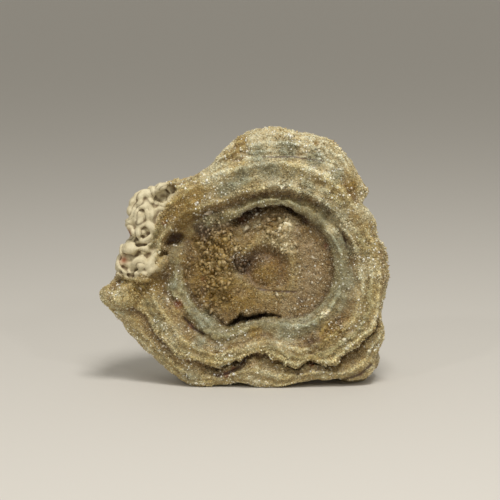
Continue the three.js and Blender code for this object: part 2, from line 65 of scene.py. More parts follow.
# %% [markdown]
# ## Where the stone is seen from
# The photograph looks at the ridged face almost squarely, from a little above, through a long lens. The scale
# comes from the stone's width, and the camera is aimed so that the bowl's centre falls where it does there.
# The camera could also be placed by eye, but then every comparison with the photograph would be a guess.
# CENTRE_SHIFT moves every finished mesh, so that the stone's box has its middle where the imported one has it.

# %% Camera
PHOTO_PX = 500
PX_PER_MM = 3.62
BOWL_PX = (262, 269)
BOWL_CENTRE = (4.65, -9.55, 33.3)
CENTRE_SHIFT = (0, -0.995, 0)
LOOK_DOWN = math.radians(9)
LENS_MM = 120
SENSOR_MM = 36

frame_width = PHOTO_PX / PX_PER_MM * MM
camera_data = bpy.data.cameras.new("long_lens")
camera_data.lens = LENS_MM
camera_data.sensor_width = SENSOR_MM
camera = bpy.data.objects.new("camera", camera_data)
bpy.context.scene.collection.objects.link(camera)
bpy.context.scene.camera = camera

to_camera = Vector((0, -math.cos(LOOK_DOWN), math.sin(LOOK_DOWN)))
picture_up = Vector((0, math.sin(LOOK_DOWN), math.cos(LOOK_DOWN)))
right_of_bowl = (PHOTO_PX / 2 - BOWL_PX[0]) / PX_PER_MM * MM
above_bowl = (BOWL_PX[1] - PHOTO_PX / 2) / PX_PER_MM * MM
bowl_place = (Vector(BOWL_CENTRE) + Vector(CENTRE_SHIFT)) * MM
aim = bowl_place + Vector((right_of_bowl, 0, 0)) + picture_up * above_bowl
stand_off = frame_width * LENS_MM / SENSOR_MM
camera.location = aim + to_camera * stand_off
camera.rotation_mode = "QUATERNION"
camera.rotation_quaternion = (-to_camera).to_track_quat("-Z", "Y")
print("camera stands off, mm:", round(stand_off / MM))

# %% [markdown]
# ## The floor and the light
# A plain pale floor carries the stone. One large soft lamp high above and a little in front gives the bright
# upper slopes and dark undersides that let the terraces be read, and the world fills the shadows. Three
# small lamps are there for the crystals, whose tiny faces flash where a lamp is mirrored in them. The
# clearest crystals also carry a painted glint, near white in their colour.

# %% Floor, lamps and world
FLOOR_HALF = 30.0
LAMPS_LOOK_AT = Vector((0, 0, 35 * MM))
GLINT_LAMPS = [(0.34, -0.62, 0.42), (-0.40, -0.55, 0.50), (0.02, -0.70, 0.62)]


def plain_material(name, colour, roughness):
    material = bpy.data.materials.new(name)
    material.use_nodes = True
    shader = material.node_tree.nodes["Principled BSDF"]
    shader.inputs["Base Color"].default_value = (*colour, 1)
    shader.inputs["Roughness"].default_value = roughness
    return material


def soft_lamp(name, place, size, watts, colour):
    data = bpy.data.lights.new(name, "AREA")
    data.shape = "RECTANGLE"
    data.size, data.size_y = size
    data.energy = watts
    data.color = colour
    lamp = bpy.data.objects.new(name, data)
    bpy.context.scene.collection.objects.link(lamp)
    lamp.location = place
    lamp.rotation_mode = "QUATERNION"
    toward = LAMPS_LOOK_AT - Vector(place)
    lamp.rotation_quaternion = toward.to_track_quat("-Z", "Y")


floor_mesh = bpy.data.meshes.new("floor")
corners = [(-FLOOR_HALF, -FLOOR_HALF, 0), (FLOOR_HALF, -FLOOR_HALF, 0), (FLOOR_HALF, FLOOR_HALF, 0)]
floor_mesh.from_pydata([*corners, (-FLOOR_HALF, FLOOR_HALF, 0)], [], [(0, 1, 2, 3)])
floor = bpy.data.objects.new("floor", floor_mesh)
bpy.context.scene.collection.objects.link(floor)
floor_mesh.materials.append(plain_material("pale_floor", (0.62, 0.60, 0.56), 0.8))
floor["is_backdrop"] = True

soft_lamp("overhead_lamp", (0.06, -0.30, 0.56), (0.20, 0.15), 2.6, (1.0, 0.97, 0.92))
for number, place in enumerate(GLINT_LAMPS):
    soft_lamp(f"glint_lamp_{number}", place, (0.045, 0.045), 0.45, (1.0, 0.98, 0.95))

world = bpy.data.worlds.new("studio")
bpy.context.scene.world = world
world.use_nodes = True
world.node_tree.nodes["Background"].inputs["Color"].default_value = (0.82, 0.78, 0.70, 1)
world.node_tree.nodes["Background"].inputs["Strength"].default_value = 0.48
bpy.context.scene.view_settings.view_transform = "Standard"

# %% [markdown]
# ## The growth lines
# The face is read like a map with rings. Each growth line (a groove, a crest or a lip) closes round the bowl,
# and is written as [angle, radius, depth]: degrees from the right-hand side, millimetres from the bowl's
# centre, millimetres towards the viewer. A sculpted or noise-made surface would be quicker, but it would be
# another stone: the terraces of this one narrow, spread and overhang in their own places.
# The camera looks down a little, so what lies nearer is seen lower, and heights are seen shorter. LEAN and
# UP_STRETCH undo both, and the tables can be read straight off the photograph.

# %% Tables of the face
BACK_DEPTH = -25.0
LEAN = 0.16
LEAN_BACK, LEAN_FRONT, TOP_LEAN_BACK = -4, 8, -12
UP_STRETCH = 1.0125
OUTLINE = [
    [0, 35.1], [7, 35.0], [12, 34.6], [15, 33.2], [18, 33.5], [23, 34.2], [29, 33.8], [33, 33.4],
    [36, 36.5], [40, 36.9], [45, 37.5], [50, 38.8], [55, 39.5], [60, 40.0], [64, 40.1], [69, 39.5],
    [75, 39.0], [83, 39.3], [90, 38.9], [95, 38.3], [100, 37.1], [105, 35.2], [110, 33.7], [115, 32.4],
    [120, 32.0], [126, 31.8], [131, 33.0], [135, 34.8], [140, 36.7], [144, 37.7], [147, 39.2],
    [150, 39.8], [155, 39.8], [160, 39.4], [163, 39.2], [166, 37.6], [169, 38.6], [172, 39.8],
    [176, 40.7], [181, 40.9], [184, 41.8], [187, 44.2], [190, 45.3], [192, 45.1], [194, 44.3],
    [197, 43.6], [201, 42.2], [205, 41.8], [210, 40.4], [217, 39.6], [224, 39.0], [232, 38.5],
    [240, 38.1], [244, 36.6], [248, 35.2], [255, 33.2], [259, 32.3], [266, 32.9], [272, 33.2],
    [280, 33.3], [286, 33.3], [290, 33.5], [295, 34.4], [300, 35.8], [305, 37.6], [308, 40.0],
    [312, 42.0], [316, 42.4], [319, 42.3], [321, 40.8], [325, 40.0], [330, 39.3], [334, 38.3],
    [339, 35.7], [345, 35.0], [350, 35.1], [356, 35.4],
]
FACE_LINES = {
    "dome groove": [
        [0, 5.6, -0.6], [40, 5.4, -0.8], [80, 4.8, -0.9], [120, 4.2, -1.3], [160, 4.0, -1.8],
        [180, 4.4, -1.9], [205, 3.8, -1.2], [240, 4.0, -0.2], [270, 4.6, 0.2], [300, 5.0, 0.2],
        [330, 5.6, -0.2],
    ],
    "crystal ridge": [
        [0, 8.4, 0.2], [20, 8.6, 0.7], [45, 8.4, 1.2], [70, 8.0, 1.2], [90, 7.4, 0.8], [120, 7.0, 0.2],
        [150, 6.8, -0.3], [180, 6.8, -0.4], [210, 6.4, 0.3], [240, 5.8, 0.8], [255, 5.5, 1.0],
        [270, 5.6, 1.1], [291, 6.2, 1.1], [309, 8.0, 0.9], [322, 9.6, 0.7], [335, 9.2, 0.4],
        [348, 8.6, 0.2],
    ],
    "bowl floor": [
        [0, 15.2, -0.7], [30, 14.8, -0.8], [45, 14.4, -0.4], [60, 14.4, -0.3], [75, 13.6, -0.8],
        [90, 12.2, -1.2], [105, 11.2, -1.4], [120, 10.8, -1.1], [140, 12.8, -0.8], [160, 15.0, -1.4],
        [180, 15.6, -1.6], [200, 15.4, -1.0], [215, 14.8, -0.7], [228, 14.0, 0.1], [238, 12.6, 0.8],
        [246, 11.2, 1.3], [258, 11.0, 1.6], [270, 10.6, 1.7], [283, 11.2, 1.6], [295, 12.6, 1.0],
        [310, 14.0, 0.4], [325, 15.0, -0.1], [345, 15.2, -0.5],
    ],
    "floor edge": [
        [0, 18.4, -0.9], [30, 18.0, -1.0], [45, 17.3, -1.1], [62, 17.0, -1.4], [68, 17.4, -1.6],
        [80, 16.2, -1.7], [90, 15.3, -1.8], [100, 14.7, -1.9], [110, 13.9, -1.8], [119, 13.2, -1.4],
        [126, 13.8, -1.0], [135, 15.4, -0.8], [150, 18.0, -0.6], [160, 19.2, -1.0], [175, 20.0, -1.1],
        [190, 20.2, -0.8], [205, 19.6, -0.6], [220, 18.4, -0.9], [232, 18.0, -0.2], [237, 18.2, 0.3],
        [239.5, 16.8, 0.7], [242, 15.5, 0.9], [245.5, 13.3, 1.2], [248, 13.6, 1.3], [251, 13.8, 1.4],
        [258.7, 13.0, 1.6], [270, 12.3, 1.7], [277, 12.3, 1.7], [285, 13.0, 1.5], [295, 14.6, 0.8],
        [310, 16.4, 0.2], [330, 17.8, -0.4], [345, 18.3, -0.8],
    ],
    "gap": [
        [0, 19.2, -0.9], [30, 18.8, -1.0], [42, 18.1, -1.4], [50, 18.2, -2.6], [62, 18.3, -4.5],
        [68, 18.8, -4.5], [76, 18.0, -2.8], [84, 17.3, -3.2], [90, 17.2, -4.2], [100, 16.8, -4.8],
        [110, 16.3, -4.6], [119, 15.4, -3.4], [126, 15.4, -1.3], [135, 16.6, -0.9], [150, 19.0, -0.8],
        [160, 20.2, -1.3], [175, 21.0, -1.4], [190, 21.2, -1.0], [205, 20.4, -0.9], [220, 19.2, -1.3],
        [232, 18.6, -1.0], [237, 18.6, -1.0], [240, 17.6, -4.0], [244, 15.6, -5.2], [250, 14.8, -5.4],
        [259, 13.8, -4.8], [270, 12.9, -4.4], [277, 12.7, -3.4], [285, 13.2, -0.4], [292, 14.4, 0.3],
        [310, 16.8, 0.0], [330, 18.3, -0.5], [345, 19.0, -0.8],
    ],
    "roll edge": [
        [0, 20.2, 0.3], [30, 19.8, 0.4], [45, 18.9, 0.9], [56, 18.3, 1.3], [62, 18.1, 1.5],
        [68, 18.5, 1.5], [76, 18.1, 1.4], [84, 17.4, 1.4], [90, 17.1, 1.3], [100, 16.4, 1.2],
        [110, 16.0, 1.0], [119, 15.9, 0.6], [126, 16.4, -0.4], [135, 17.6, -0.6], [150, 20.2, -0.8],
        [160, 21.6, -1.2], [170, 22.2, -1.2], [180, 22.0, -1.0], [190, 22.0, -0.6], [205, 21.2, -0.2],
        [220, 20.2, 0.5], [232, 19.4, 0.8], [238, 19.0, 0.9], [241, 18.1, 1.2], [245, 16.8, 1.4],
        [250, 15.7, 1.6], [260, 14.5, 1.8], [270, 13.5, 1.8], [277, 13.3, 1.8], [285, 13.9, 1.6],
        [295, 15.4, 1.2], [310, 17.6, 0.9], [330, 19.4, 0.4], [345, 20.0, 0.2],
    ],
    "inner roll": [
        [0, 22.0, 1.6], [15, 21.8, 1.6], [30, 21.4, 1.7], [45, 21.1, 1.9], [60, 20.3, 2.1],
        [75, 19.7, 2.1], [90, 18.8, 2.0], [105, 17.8, 1.8], [120, 17.6, 1.0], [135, 19.4, 0.1],
        [150, 21.8, -0.7], [160, 22.8, -1.3], [170, 23.4, -1.2], [180, 23.4, -0.6], [190, 24.0, 0.0],
        [200, 23.6, 0.4], [210, 22.8, 1.0], [225, 22.0, 1.5], [240, 20.8, 2.0], [250, 18.2, 2.4],
        [260, 16.3, 2.7], [270, 15.5, 2.8], [280, 15.9, 2.8], [290, 17.2, 2.6], [300, 18.6, 2.4],
        [315, 20.2, 2.0], [330, 21.8, 1.7], [345, 22.2, 1.6],
    ],
    "roll groove": [
        [0, 24.3, 0.9], [15, 24.2, 0.8], [30, 23.9, 0.6], [45, 23.5, 0.5], [60, 22.1, 0.5],
        [75, 21.1, 0.5], [90, 20.3, 0.5], [105, 19.5, 0.6], [120, 19.6, 0.4], [135, 21.2, -0.2],
        [148, 23.6, -0.8], [157, 24.4, -1.2], [161.5, 25.6, -3.6], [165, 26.2, -1.4], [175, 26.0, -1.0],
        [182, 25.8, -1.8], [190, 27.4, -1.4], [196, 27.4, -1.0], [203, 25.5, 0.1], [210, 25.1, 0.3],
        [217, 25.6, 0.3], [225, 25.0, 0.5], [235, 24.6, 1.2], [242, 24.0, 1.8], [248, 21.8, 2.2],
        [255, 19.7, 2.4], [265, 18.1, 2.7], [275, 17.9, 2.7], [285, 20.0, 2.3], [295, 21.8, 1.9],
        [305, 23.0, 1.7], [315, 23.6, 1.7], [330, 25.0, 1.4], [345, 25.0, 1.1],
    ],
    "middle crest": [
        [0, 26.6, 2.4], [15, 26.0, 2.6], [30, 25.5, 3.0], [45, 25.0, 3.4], [60, 24.1, 3.8],
        [75, 22.9, 4.0], [90, 22.2, 3.9], [105, 21.3, 3.4], [120, 21.5, 2.9], [135, 24.0, 2.6],
        [150, 27.0, 2.4], [160, 28.2, 2.0], [170, 29.0, 1.6], [180, 28.8, 1.6], [190, 30.4, 1.5],
        [200, 30.6, 1.9], [210, 29.6, 2.2], [225, 29.2, 2.6], [240, 27.0, 3.2], [250, 24.2, 3.6],
        [260, 21.6, 4.0], [270, 20.3, 4.0], [280, 20.8, 3.8], [290, 23.4, 3.5], [300, 25.0, 3.3],
        [315, 26.8, 3.2], [330, 28.8, 2.9], [345, 28.0, 2.5],
    ],
    "shelf": [
        [0, 29.5, 2.1], [15, 28.4, 2.2], [30, 27.8, 2.4], [45, 27.4, 2.6], [60, 26.8, 2.9],
        [75, 26.0, 3.0], [90, 25.6, 2.9], [105, 24.6, 2.4], [120, 24.8, 2.0], [135, 27.0, 2.2],
        [150, 29.8, 2.0], [160, 30.6, 1.7], [170, 31.0, 1.4], [180, 31.0, 1.4], [190, 32.4, 1.2],
        [200, 32.6, 1.6], [210, 32.2, 2.1], [225, 31.8, 2.7], [240, 28.6, 3.4], [250, 25.8, 3.9],
        [260, 22.8, 4.2], [270, 21.5, 4.2], [280, 22.6, 4.0], [290, 26.0, 4.0], [300, 27.2, 3.8],
        [315, 29.8, 3.4], [330, 31.8, 2.8], [345, 30.5, 2.2],
    ],
    "outer crest": [
        [0, 32.0, 1.8], [15, 31.0, 2.0], [30, 30.6, 2.4], [45, 30.4, 3.1], [60, 30.0, 3.5],
        [75, 29.3, 3.6], [90, 28.8, 3.5], [105, 28.4, 2.9], [120, 28.9, 1.7], [135, 30.4, 1.7],
        [150, 33.0, 1.4], [165, 33.4, 1.2], [180, 34.2, 1.1], [190, 36.6, 0.8], [196, 35.0, 1.2],
        [203, 34.0, 1.9], [216, 33.3, 2.6], [224, 33.2, 3.0], [230, 31.4, 3.3], [240, 29.7, 3.7],
        [252, 26.5, 4.1], [259, 24.1, 4.2], [265, 22.9, 4.2], [271, 22.4, 4.2], [276, 23.5, 4.2],
        [285, 26.6, 4.1], [290, 28.2, 4.1], [297, 27.9, 4.0], [303, 30.6, 3.9], [309, 32.2, 3.8],
        [317, 32.2, 3.5], [326, 33.4, 3.0], [331, 34.2, 2.7], [338, 33.9, 2.2], [346, 32.6, 1.9],
    ],
    "lip": [
        [0, 33.4, 1.1], [15, 32.3, 1.3], [27, 32.6, 1.3], [33, 32.2, 1.4], [38, 31.7, 1.8],
        [45, 32.2, 2.2], [52, 33.6, 2.3], [60, 33.4, 2.5], [75, 31.5, 2.6], [90, 30.5, 2.6],
        [105, 30.1, 2.1], [113, 30.4, 1.4], [122, 30.4, 0.8], [135, 32.6, 0.8], [150, 37.0, 0.5],
        [165, 36.2, 0.3], [180, 38.2, 0.1], [190, 41.6, -0.3], [194, 39.8, -0.1], [198, 36.6, 0.6],
        [203, 35.0, 1.3], [208, 35.0, 1.7], [216, 34.4, 2.0], [224, 34.4, 2.3], [230, 32.5, 2.6],
        [240, 30.7, 2.9], [246, 29.8, 3.1], [252, 27.4, 3.2], [259, 24.9, 3.4], [265, 23.7, 3.4],
        [271, 23.1, 3.4], [276, 24.3, 3.4], [281, 25.5, 3.4], [285, 27.5, 3.4], [289, 29.1, 3.4],
        [293, 28.8, 3.3], [297, 28.6, 3.2], [300, 29.6, 3.2], [303, 31.5, 3.1], [309, 33.2, 3.0],
        [312, 32.7, 2.9], [317, 33.0, 2.8], [321, 34.0, 2.6], [326, 34.4, 2.3], [331, 35.2, 1.9],
        [338, 34.8, 1.5], [346, 33.6, 1.2],
    ],
}
print("growth lines:", ", ".join(FACE_LINES))

# %% [markdown]
# Under the lip runs a slit that separates the terraces from the layer below them. Its depth, the crest of
# that lower layer and the rim of the stone need only a depth at each angle, because their radii follow from
# the lip and the outline. The back was never photographed: it swells by different amounts round the stone.

# %% Tables of the edge and the back
SLIT_DEPTH = [
    [0, 0.1], [33, 0.3], [45, 0.5], [60, 0.4], [90, 0.3], [120, 0.2], [160, 0.2], [190, 0.2],
    [200, 0.5], [220, 0.6], [238, 0.9], [245, 3.6], [252, 5.0], [258, 3.4], [264, 2.2], [280, 2.4],
    [290, 3.0], [297, 5.4], [303, 4.4], [311, 3.4], [320, 3.6], [330, 2.8], [336, 1.4], [346, 0.3],
]
BAND_DEPTH = [
    [0, 0.2], [20, 0.4], [33, 0.4], [40, 1.2], [60, 1.8], [90, 2.0], [105, 1.5], [117, 0.5],
    [135, 0.2], [165, 0.0], [180, -0.1], [190, -0.8], [198, 0.2], [210, 0.9], [225, 1.4], [240, 2.0],
    [250, 2.4], [262, 2.8], [275, 3.0], [290, 2.8], [300, 2.4], [315, 1.8], [328, 1.2], [338, 0.7],
    [350, 0.3],
]
RIM_DEPTH = [
    [0, -3.0], [60, -2.0], [90, -1.8], [120, -3.0], [150, -3.0], [180, -3.5], [195, -3.5],
    [215, -2.5], [240, -0.4], [255, 0.6], [270, 1.2], [285, 1.2], [300, 0.4], [315, -1.2],
    [330, -2.0], [345, -3.0],
]
BACK_SWELL = [
    [0, -21.5], [45, -19.0], [80, -18.5], [115, -19.5], [150, -15.5], [180, -17.0], [225, -23.0],
    [270, -24.5], [315, -24.0],
]
# Share of the outline's radius, and share of the way from the rim to the back.
BACK_LINES = [
    [1.005, 0.16], [1.0, 0.34], [0.965, 0.54], [0.88, 0.73], [0.74, 0.87], [0.56, 0.95],
    [0.36, 0.985], [0.17, 1.0],
]
FOOT = {"angle": 270, "half_width": 44, "kept": 0.8}
# Low swellings and pits of the face: angle, radius, size, height.
SWELLINGS = [
    [0, 0.6, 4.2, 1.0], [200, 12.0, 3.0, 0.7], [150, 11.5, 3.4, 0.9], [172, 10.0, 2.6, 0.7],
    [62, 12.0, 3.0, 0.9], [238, 10.6, 2.2, 0.5], [262, 27.4, 3.4, 1.6], [108, 34.0, 3.2, 0.9],
    [222, 31.2, 3.4, 0.4], [197, 31.4, 3.4, 0.6], [139, 33.4, 1.6, -2.4], [143.5, 34.2, 1.9, -3.2],
    [148, 35.2, 1.7, -2.6], [165.0, 38.2, 2.0, -3.0], [167, 33.6, 1.8, -2.0], [36, 34.8, 1.3, -1.2],
    [172, 27.6, 1.3, -1.4], [236, 35.0, 3.0, 0.5], [318, 36.5, 3.0, -0.6],
]
# Round knobs: centre (to the right of the bowl, towards the viewer, above the bowl), half sizes, turn.
KNOBS = [
    [(-30.8, -2.2, 14.0), (4.6, 3.8, 5.8), 12], [(-34.0, -2.6, 16.0), (2.6, 2.8, 3.9), -8],
    [(-33.4, -3.0, 6.0), (4.6, 3.4, 2.8), -15], [(-33.4, -2.4, 1.6), (6.0, 4.2, 3.6), 0],
    [(-38.9, -2.4, -7.0), (6.0, 4.9, 4.1), 6], [(25.0, -9.8, -26.2), (8.6, 7.4, 6.9), 0],
]
# Small nodules of the rind, in the same way.
NODULES = [
    [(-32.6, 0.0, 20.2), (2.5, 2.0, 1.5), 20], [(-30.4, -0.4, 21.4), (1.8, 1.8, 1.1), 30],
    [(-26.8, -0.2, 23.0), (4.6, 1.9, 0.9), 24], [(-35.2, -0.8, 18.2), (1.2, 1.8, 1.5), 0],
    [(-32.0, 0.9, 17.8), (2.4, 1.9, 1.8), 8], [(-35.5, -0.4, 15.4), (1.5, 2.0, 2.3), 0],
    [(-34.0, 0.6, 15.2), (1.3, 1.9, 2.0), 10], [(-33.6, 0.8, 12.9), (1.9, 2.0, 1.6), 0],
    [(-36.3, -0.6, 12.6), (1.3, 1.9, 1.7), 0], [(-35.5, 0.0, 11.4), (1.1, 1.6, 1.1), 0],
    [(-34.0, 0.8, 10.2), (1.9, 1.9, 1.4), -8], [(-31.7, 1.4, 14.8), (0.8, 1.4, 2.6), 6],
    [(-31.0, 1.4, 12.0), (0.8, 1.5, 2.4), 14], [(-30.2, 1.4, 15.6), (0.7, 1.4, 2.6), 10],
    [(-29.6, 1.4, 11.4), (0.9, 1.4, 2.2), 22], [(-31.6, 1.0, 8.6), (2.2, 1.5, 0.8), 28],
    [(-30.4, 1.0, 7.2), (2.0, 1.4, 0.8), 34], [(-36.1, 0.8, 5.5), (1.9, 1.6, 1.1), 14],
    [(-35.9, 0.4, 6.8), (1.9, 1.5, 0.6), 20], [(-38.3, -0.8, 5.4), (0.9, 1.6, 1.8), -20],
    [(-32.2, 1.0, 5.4), (1.7, 1.5, 1.1), -10], [(-29.4, 0.8, 4.0), (1.1, 1.5, 2.2), -30],
    [(-33.6, 1.9, 1.7), (2.1, 1.9, 1.7), 0], [(-31.0, 1.5, 1.4), (1.0, 1.6, 2.0), -20],
    [(-39.2, -0.6, 1.2), (1.0, 1.6, 1.5), 0], [(-37.4, 1.2, -0.6), (2.6, 1.4, 0.6), -18],
    [(-33.4, 1.9, -1.2), (2.4, 1.3, 0.6), -6], [(-30.4, 1.7, -0.2), (1.8, 1.3, 0.6), 32],
    [(-37.6, 0.8, -2.0), (2.9, 1.4, 0.6), -16], [(-33.2, 1.6, -2.7), (2.8, 1.3, 0.7), -4],
    [(-27.6, 0.5, 1.6), (1.2, 1.3, 2.7), -38],
]
# Thin cracks, as [angle, radius] from end to end, with half the width and the depth.
CRACKS = [
    [[(256, 5.5), (270, 5.7), (293, 6.5), (309, 8.0), (320, 9.8), (326, 11.4)], 0.30, 0.5],
    [[(213, 25.5), (221, 25.2), (228, 24.3)], 0.35, 1.0],
    [[(247.5, 32.2), (252, 30.4), (257, 27.9), (259, 25.8)], 0.45, 1.4],
    [[(307, 38.6), (313, 40.2), (319, 40.6)], 0.4, 1.0],
    [[(14, 24.0), (19, 24.2), (24, 24.2)], 0.25, 0.5],
    [[(157.5, 24.3), (160, 26.0), (164.8, 26.9)], 0.5, 1.0],
    [[(138, 32.6), (142, 33.6), (147, 35.2)], 0.6, 0.8],
    [[(60, 33.9), (75, 31.7), (90, 30.5)], 0.20, 0.2],
]
print("knobs:", len(KNOBS), "nodules:", len(NODULES), "cracks:", len(CRACKS))

# %% [markdown]
# ## Reading the tables between their points
# A smooth curve runs through the rows of each table all the way round, and another runs from line to line
# along each ray. Both are cubic curves whose slope at a point comes from its two neighbours, which pass
# through every point given and need no handles to be set.

# %% Curves through the tables


def hermite(before, start, end, after, t, pull=1.0):
    slope_in, slope_out = (end - before) * pull / 2, (after - start) * pull / 2
    bend = 2 * (start - end) + slope_in + slope_out
    return start + t * (slope_in + t * (3 * (end - start) - 2 * slope_in - slope_out + t * bend))


def around(table, column, degrees):
    rows = np.array(table, float)
    angles, values = rows[:, 0], rows[:, column]
    turn = np.mod(degrees, 360)
    i = np.mod(np.searchsorted(angles, turn, side="right") - 1, len(rows))
    span = np.mod(np.roll(angles, -1)[i] - angles[i], 360)
    t = np.mod(turn - angles[i], 360) / span
    return hermite(np.roll(values, 1)[i], values[i], np.roll(values, -1)[i], np.roll(values, -2)[i], t)


def smooth(value):
    v = np.clip(value, 0, 1)
    return v * v * (3 - 2 * v)


def picture_place(points):
    """How far each point lies right of and above the bowl's centre, as the camera sees it."""
    toward_viewer = BOWL_CENTRE[1] - points[:, 1]
    up = points[:, 2] - BOWL_CENTRE[2] - LEAN * np.clip(toward_viewer, LEAN_BACK, LEAN_FRONT)
    return points[:, 0] - BOWL_CENTRE[0], up / UP_STRETCH, toward_viewer


print("outline at 45 degrees, mm:", round(float(around(OUTLINE, 1, np.array([45.0]))[0]), 2))

# %% [markdown]
# ## Two kinds of noise
# Stone has no repeated detail, so its small forms come from numbers that only look random. Soft noise gives
# a gentle unevenness. Lumps give rounded swellings with creases between them, as on the rind of an agate.
# Both are worked out from a place in space by a fixed formula, so each run makes the same stone.

# %% Noise


def hashed(i, j, k, salt):
    v = np.sin(i * 127.1 + j * 311.7 + k * 74.7 + salt * 53.3) * 43758.5453
    return v - np.floor(v)


def soft_noise(points, size, salt):
    """Smooth values from -1 to 1 that change over about one size."""
    p = points / size
    low = np.floor(p)
    t = smooth(p - low)
    total = np.zeros(len(p))
    for corner in np.ndindex(2, 2, 2):
        weight = np.ones(len(p))
        for axis, side in enumerate(corner):
            weight = weight * (t[:, axis] if side else 1 - t[:, axis])
        total += weight * hashed(*(low + corner).T, salt)
    return 2 * total - 1


def lumps(points, cell, salt):
    """Rounded swellings about one cell across, 0 in the creases and 1 on a crown."""
    home = np.floor(points / cell)
    best = np.zeros(len(points))
    for step in np.ndindex(3, 3, 3):
        i, j, k = (home + step - 1).T
        centre = np.stack([c + hashed(i, j, k, salt + n) for n, c in enumerate((i, j, k))], axis=1) * cell
        away = np.sum((points - centre) ** 2, axis=1) / cell**2
        best = np.maximum(best, 1 - away)
    return best


probe = np.random.default_rng(1).uniform(-40, 40, (2000, 3))
print("mean lump height:", round(float(lumps(probe, 4.6, 0).mean()), 2))

# %% [markdown]
# ## One fine surface through the lines
# Each ray from the bowl gets its section: where every line crosses it, from the middle of the bowl over the
# lip and the rim to the middle of the back. The lines also wander a little along their length, because real
# crests are ragged with crystals. A grid of such sections is a closed skin, which may cross itself in the
# undercuts. That does no harm, because the next step melts everything into one clean surface.

# %% Sections
RAYS = 900
FINE_STEP = 0.34
CENTRE_DEPTH = 0.0
LINE_PULL = 0.75
RAGGED = {
    "crystal ridge": 0.6, "bowl floor": 0.5, "floor edge": 0.7, "gap": 0.2, "roll edge": 0.4,
    "inner roll": 0.25, "roll groove": 0.35, "middle crest": 0.5, "shelf": 0.5, "outer crest": 0.5,
    "lip": 0.8,
}


def rounded_outline(degrees):
    return sum(around(OUTLINE, 1, degrees + turn) for turn in range(-60, 61, 15)) / 9


def ragged(radius, degrees, amount, salt):
    turn = np.radians(degrees)
    place = np.stack([radius * np.cos(turn), np.full_like(turn, 7.0 * salt), radius * np.sin(turn)], axis=1)
    return amount * (0.6 * soft_noise(place, 3.1, salt) + 0.5 * soft_noise(place, 1.3, salt + 3))


def section(degrees):
    """Radius and depth of every line on every ray, from the bowl's centre to the middle of the back."""
    radii, depths = [0 * degrees], [0 * degrees + CENTRE_DEPTH]
    for salt, (name, line) in enumerate(FACE_LINES.items()):
        radius = around(line, 1, degrees)
        radii.append(radius + ragged(radius, degrees, RAGGED.get(name, 0.2), salt))
        depths.append(around(line, 2, degrees))
    outline = around(OUTLINE, 1, degrees)
    outline = outline + ragged(outline, degrees, 0.35, 20)
    slit = np.maximum(0, around(SLIT_DEPTH, 1, degrees))
    band, rim = around(BAND_DEPTH, 1, degrees), around(RIM_DEPTH, 1, degrees)
    lip_radius, lip_depth = radii[-1], depths[-1]
    width = outline - lip_radius
    edge = [
        (lip_radius + 0.25 - 0.16 * slit, lip_depth - slit),
        (lip_radius + 0.2 * width, np.maximum(lip_depth - slit, band - 1.2) - 0.1),
        (lip_radius + 0.55 * width, band),
        (lip_radius + 0.86 * width, 0.6 * band + 0.4 * rim),
        (outline, rim),
    ]
    foot = smooth(1 - np.abs(np.mod(degrees - FOOT["angle"] + 540, 360) - 180) / FOOT["half_width"])
    swell, rounded = around(BACK_SWELL, 1, degrees), rounded_outline(degrees)
    for share, way in BACK_LINES:
        kept = share + (1 - share) * FOOT["kept"] * foot * smooth((1 - way) / 0.5)
        radius = rounded + (outline - rounded) * smooth((share - 0.3) / 0.7)
        back = BACK_DEPTH + (swell - BACK_DEPTH) * smooth(share / 0.8)
        edge.append((radius * kept, rim + (back - rim) * way))
    edge.append((0 * degrees, 0 * degrees + BACK_DEPTH))
    return np.array(radii + [r for r, _ in edge]), np.array(depths + [d for _, d in edge])


ray_degrees = np.arange(RAYS) * 360.0 / RAYS
line_radii, line_depths = section(ray_degrees)
LINE_COUNT = len(line_radii)
RIM_LINE = len(FACE_LINES) + 5
print("lines on each ray:", LINE_COUNT, "rim is line", RIM_LINE)

# %% [markdown]
# The grid is filled in between the lines, and each of its points remembers its growth: the number of the
# line that it is on. Growth is what the colours will follow later. The left edge and the back are a knobby
# rind without crystals, and each point also remembers how much rind it is.

# %% The grid of the skin
SIDE_RIND = 0.3


def rind_share(degrees, radius, depth, outline):
    left = smooth((15 - np.abs(degrees - 160)) / 9) * smooth((radius - 30.8) / 2.0)
    lower_left = smooth((9 - np.abs(degrees - 176)) / 5) * smooth((radius - 28.5) / 2)
    side = SIDE_RIND * smooth((-2.5 - depth) / 3) * smooth((radius / outline - 0.5) / 0.3)
    back = smooth((-9 - depth) / 7)
    return np.maximum.reduce([left, lower_left, side, back])


def swelling_at(x, z):
    total = np.zeros_like(x)
    for degrees, radius, size, height in SWELLINGS:
        dx = x - radius * math.cos(math.radians(degrees))
        dz = z - radius * math.sin(math.radians(degrees))
        total += height * np.sqrt(np.maximum(0, 1 - (dx * dx + dz * dz) / size**2))
    return total


def skin_rows():
    """Rows of the grid: radius, depth and growth of each sample between the lines."""
    rows = []
    for line in range(LINE_COUNT - 1):
        picks = [min(LINE_COUNT - 1, max(0, line + k)) for k in (-1, 0, 1, 2)]
        length = np.hypot(*(grid[line + 1] - grid[line] for grid in (line_radii, line_depths))).mean()
        steps = max(3, math.ceil(length / FINE_STEP))
        for t in np.arange(steps) / steps:
            radius = hermite(*(line_radii[k] for k in picks), t, LINE_PULL)
            depth = hermite(*(line_depths[k] for k in picks), t, LINE_PULL)
            rows.append((np.maximum(radius, 0.01), depth, line + t))
    rows.append((0 * ray_degrees + 0.01, line_depths[-1], LINE_COUNT - 1))
    return rows


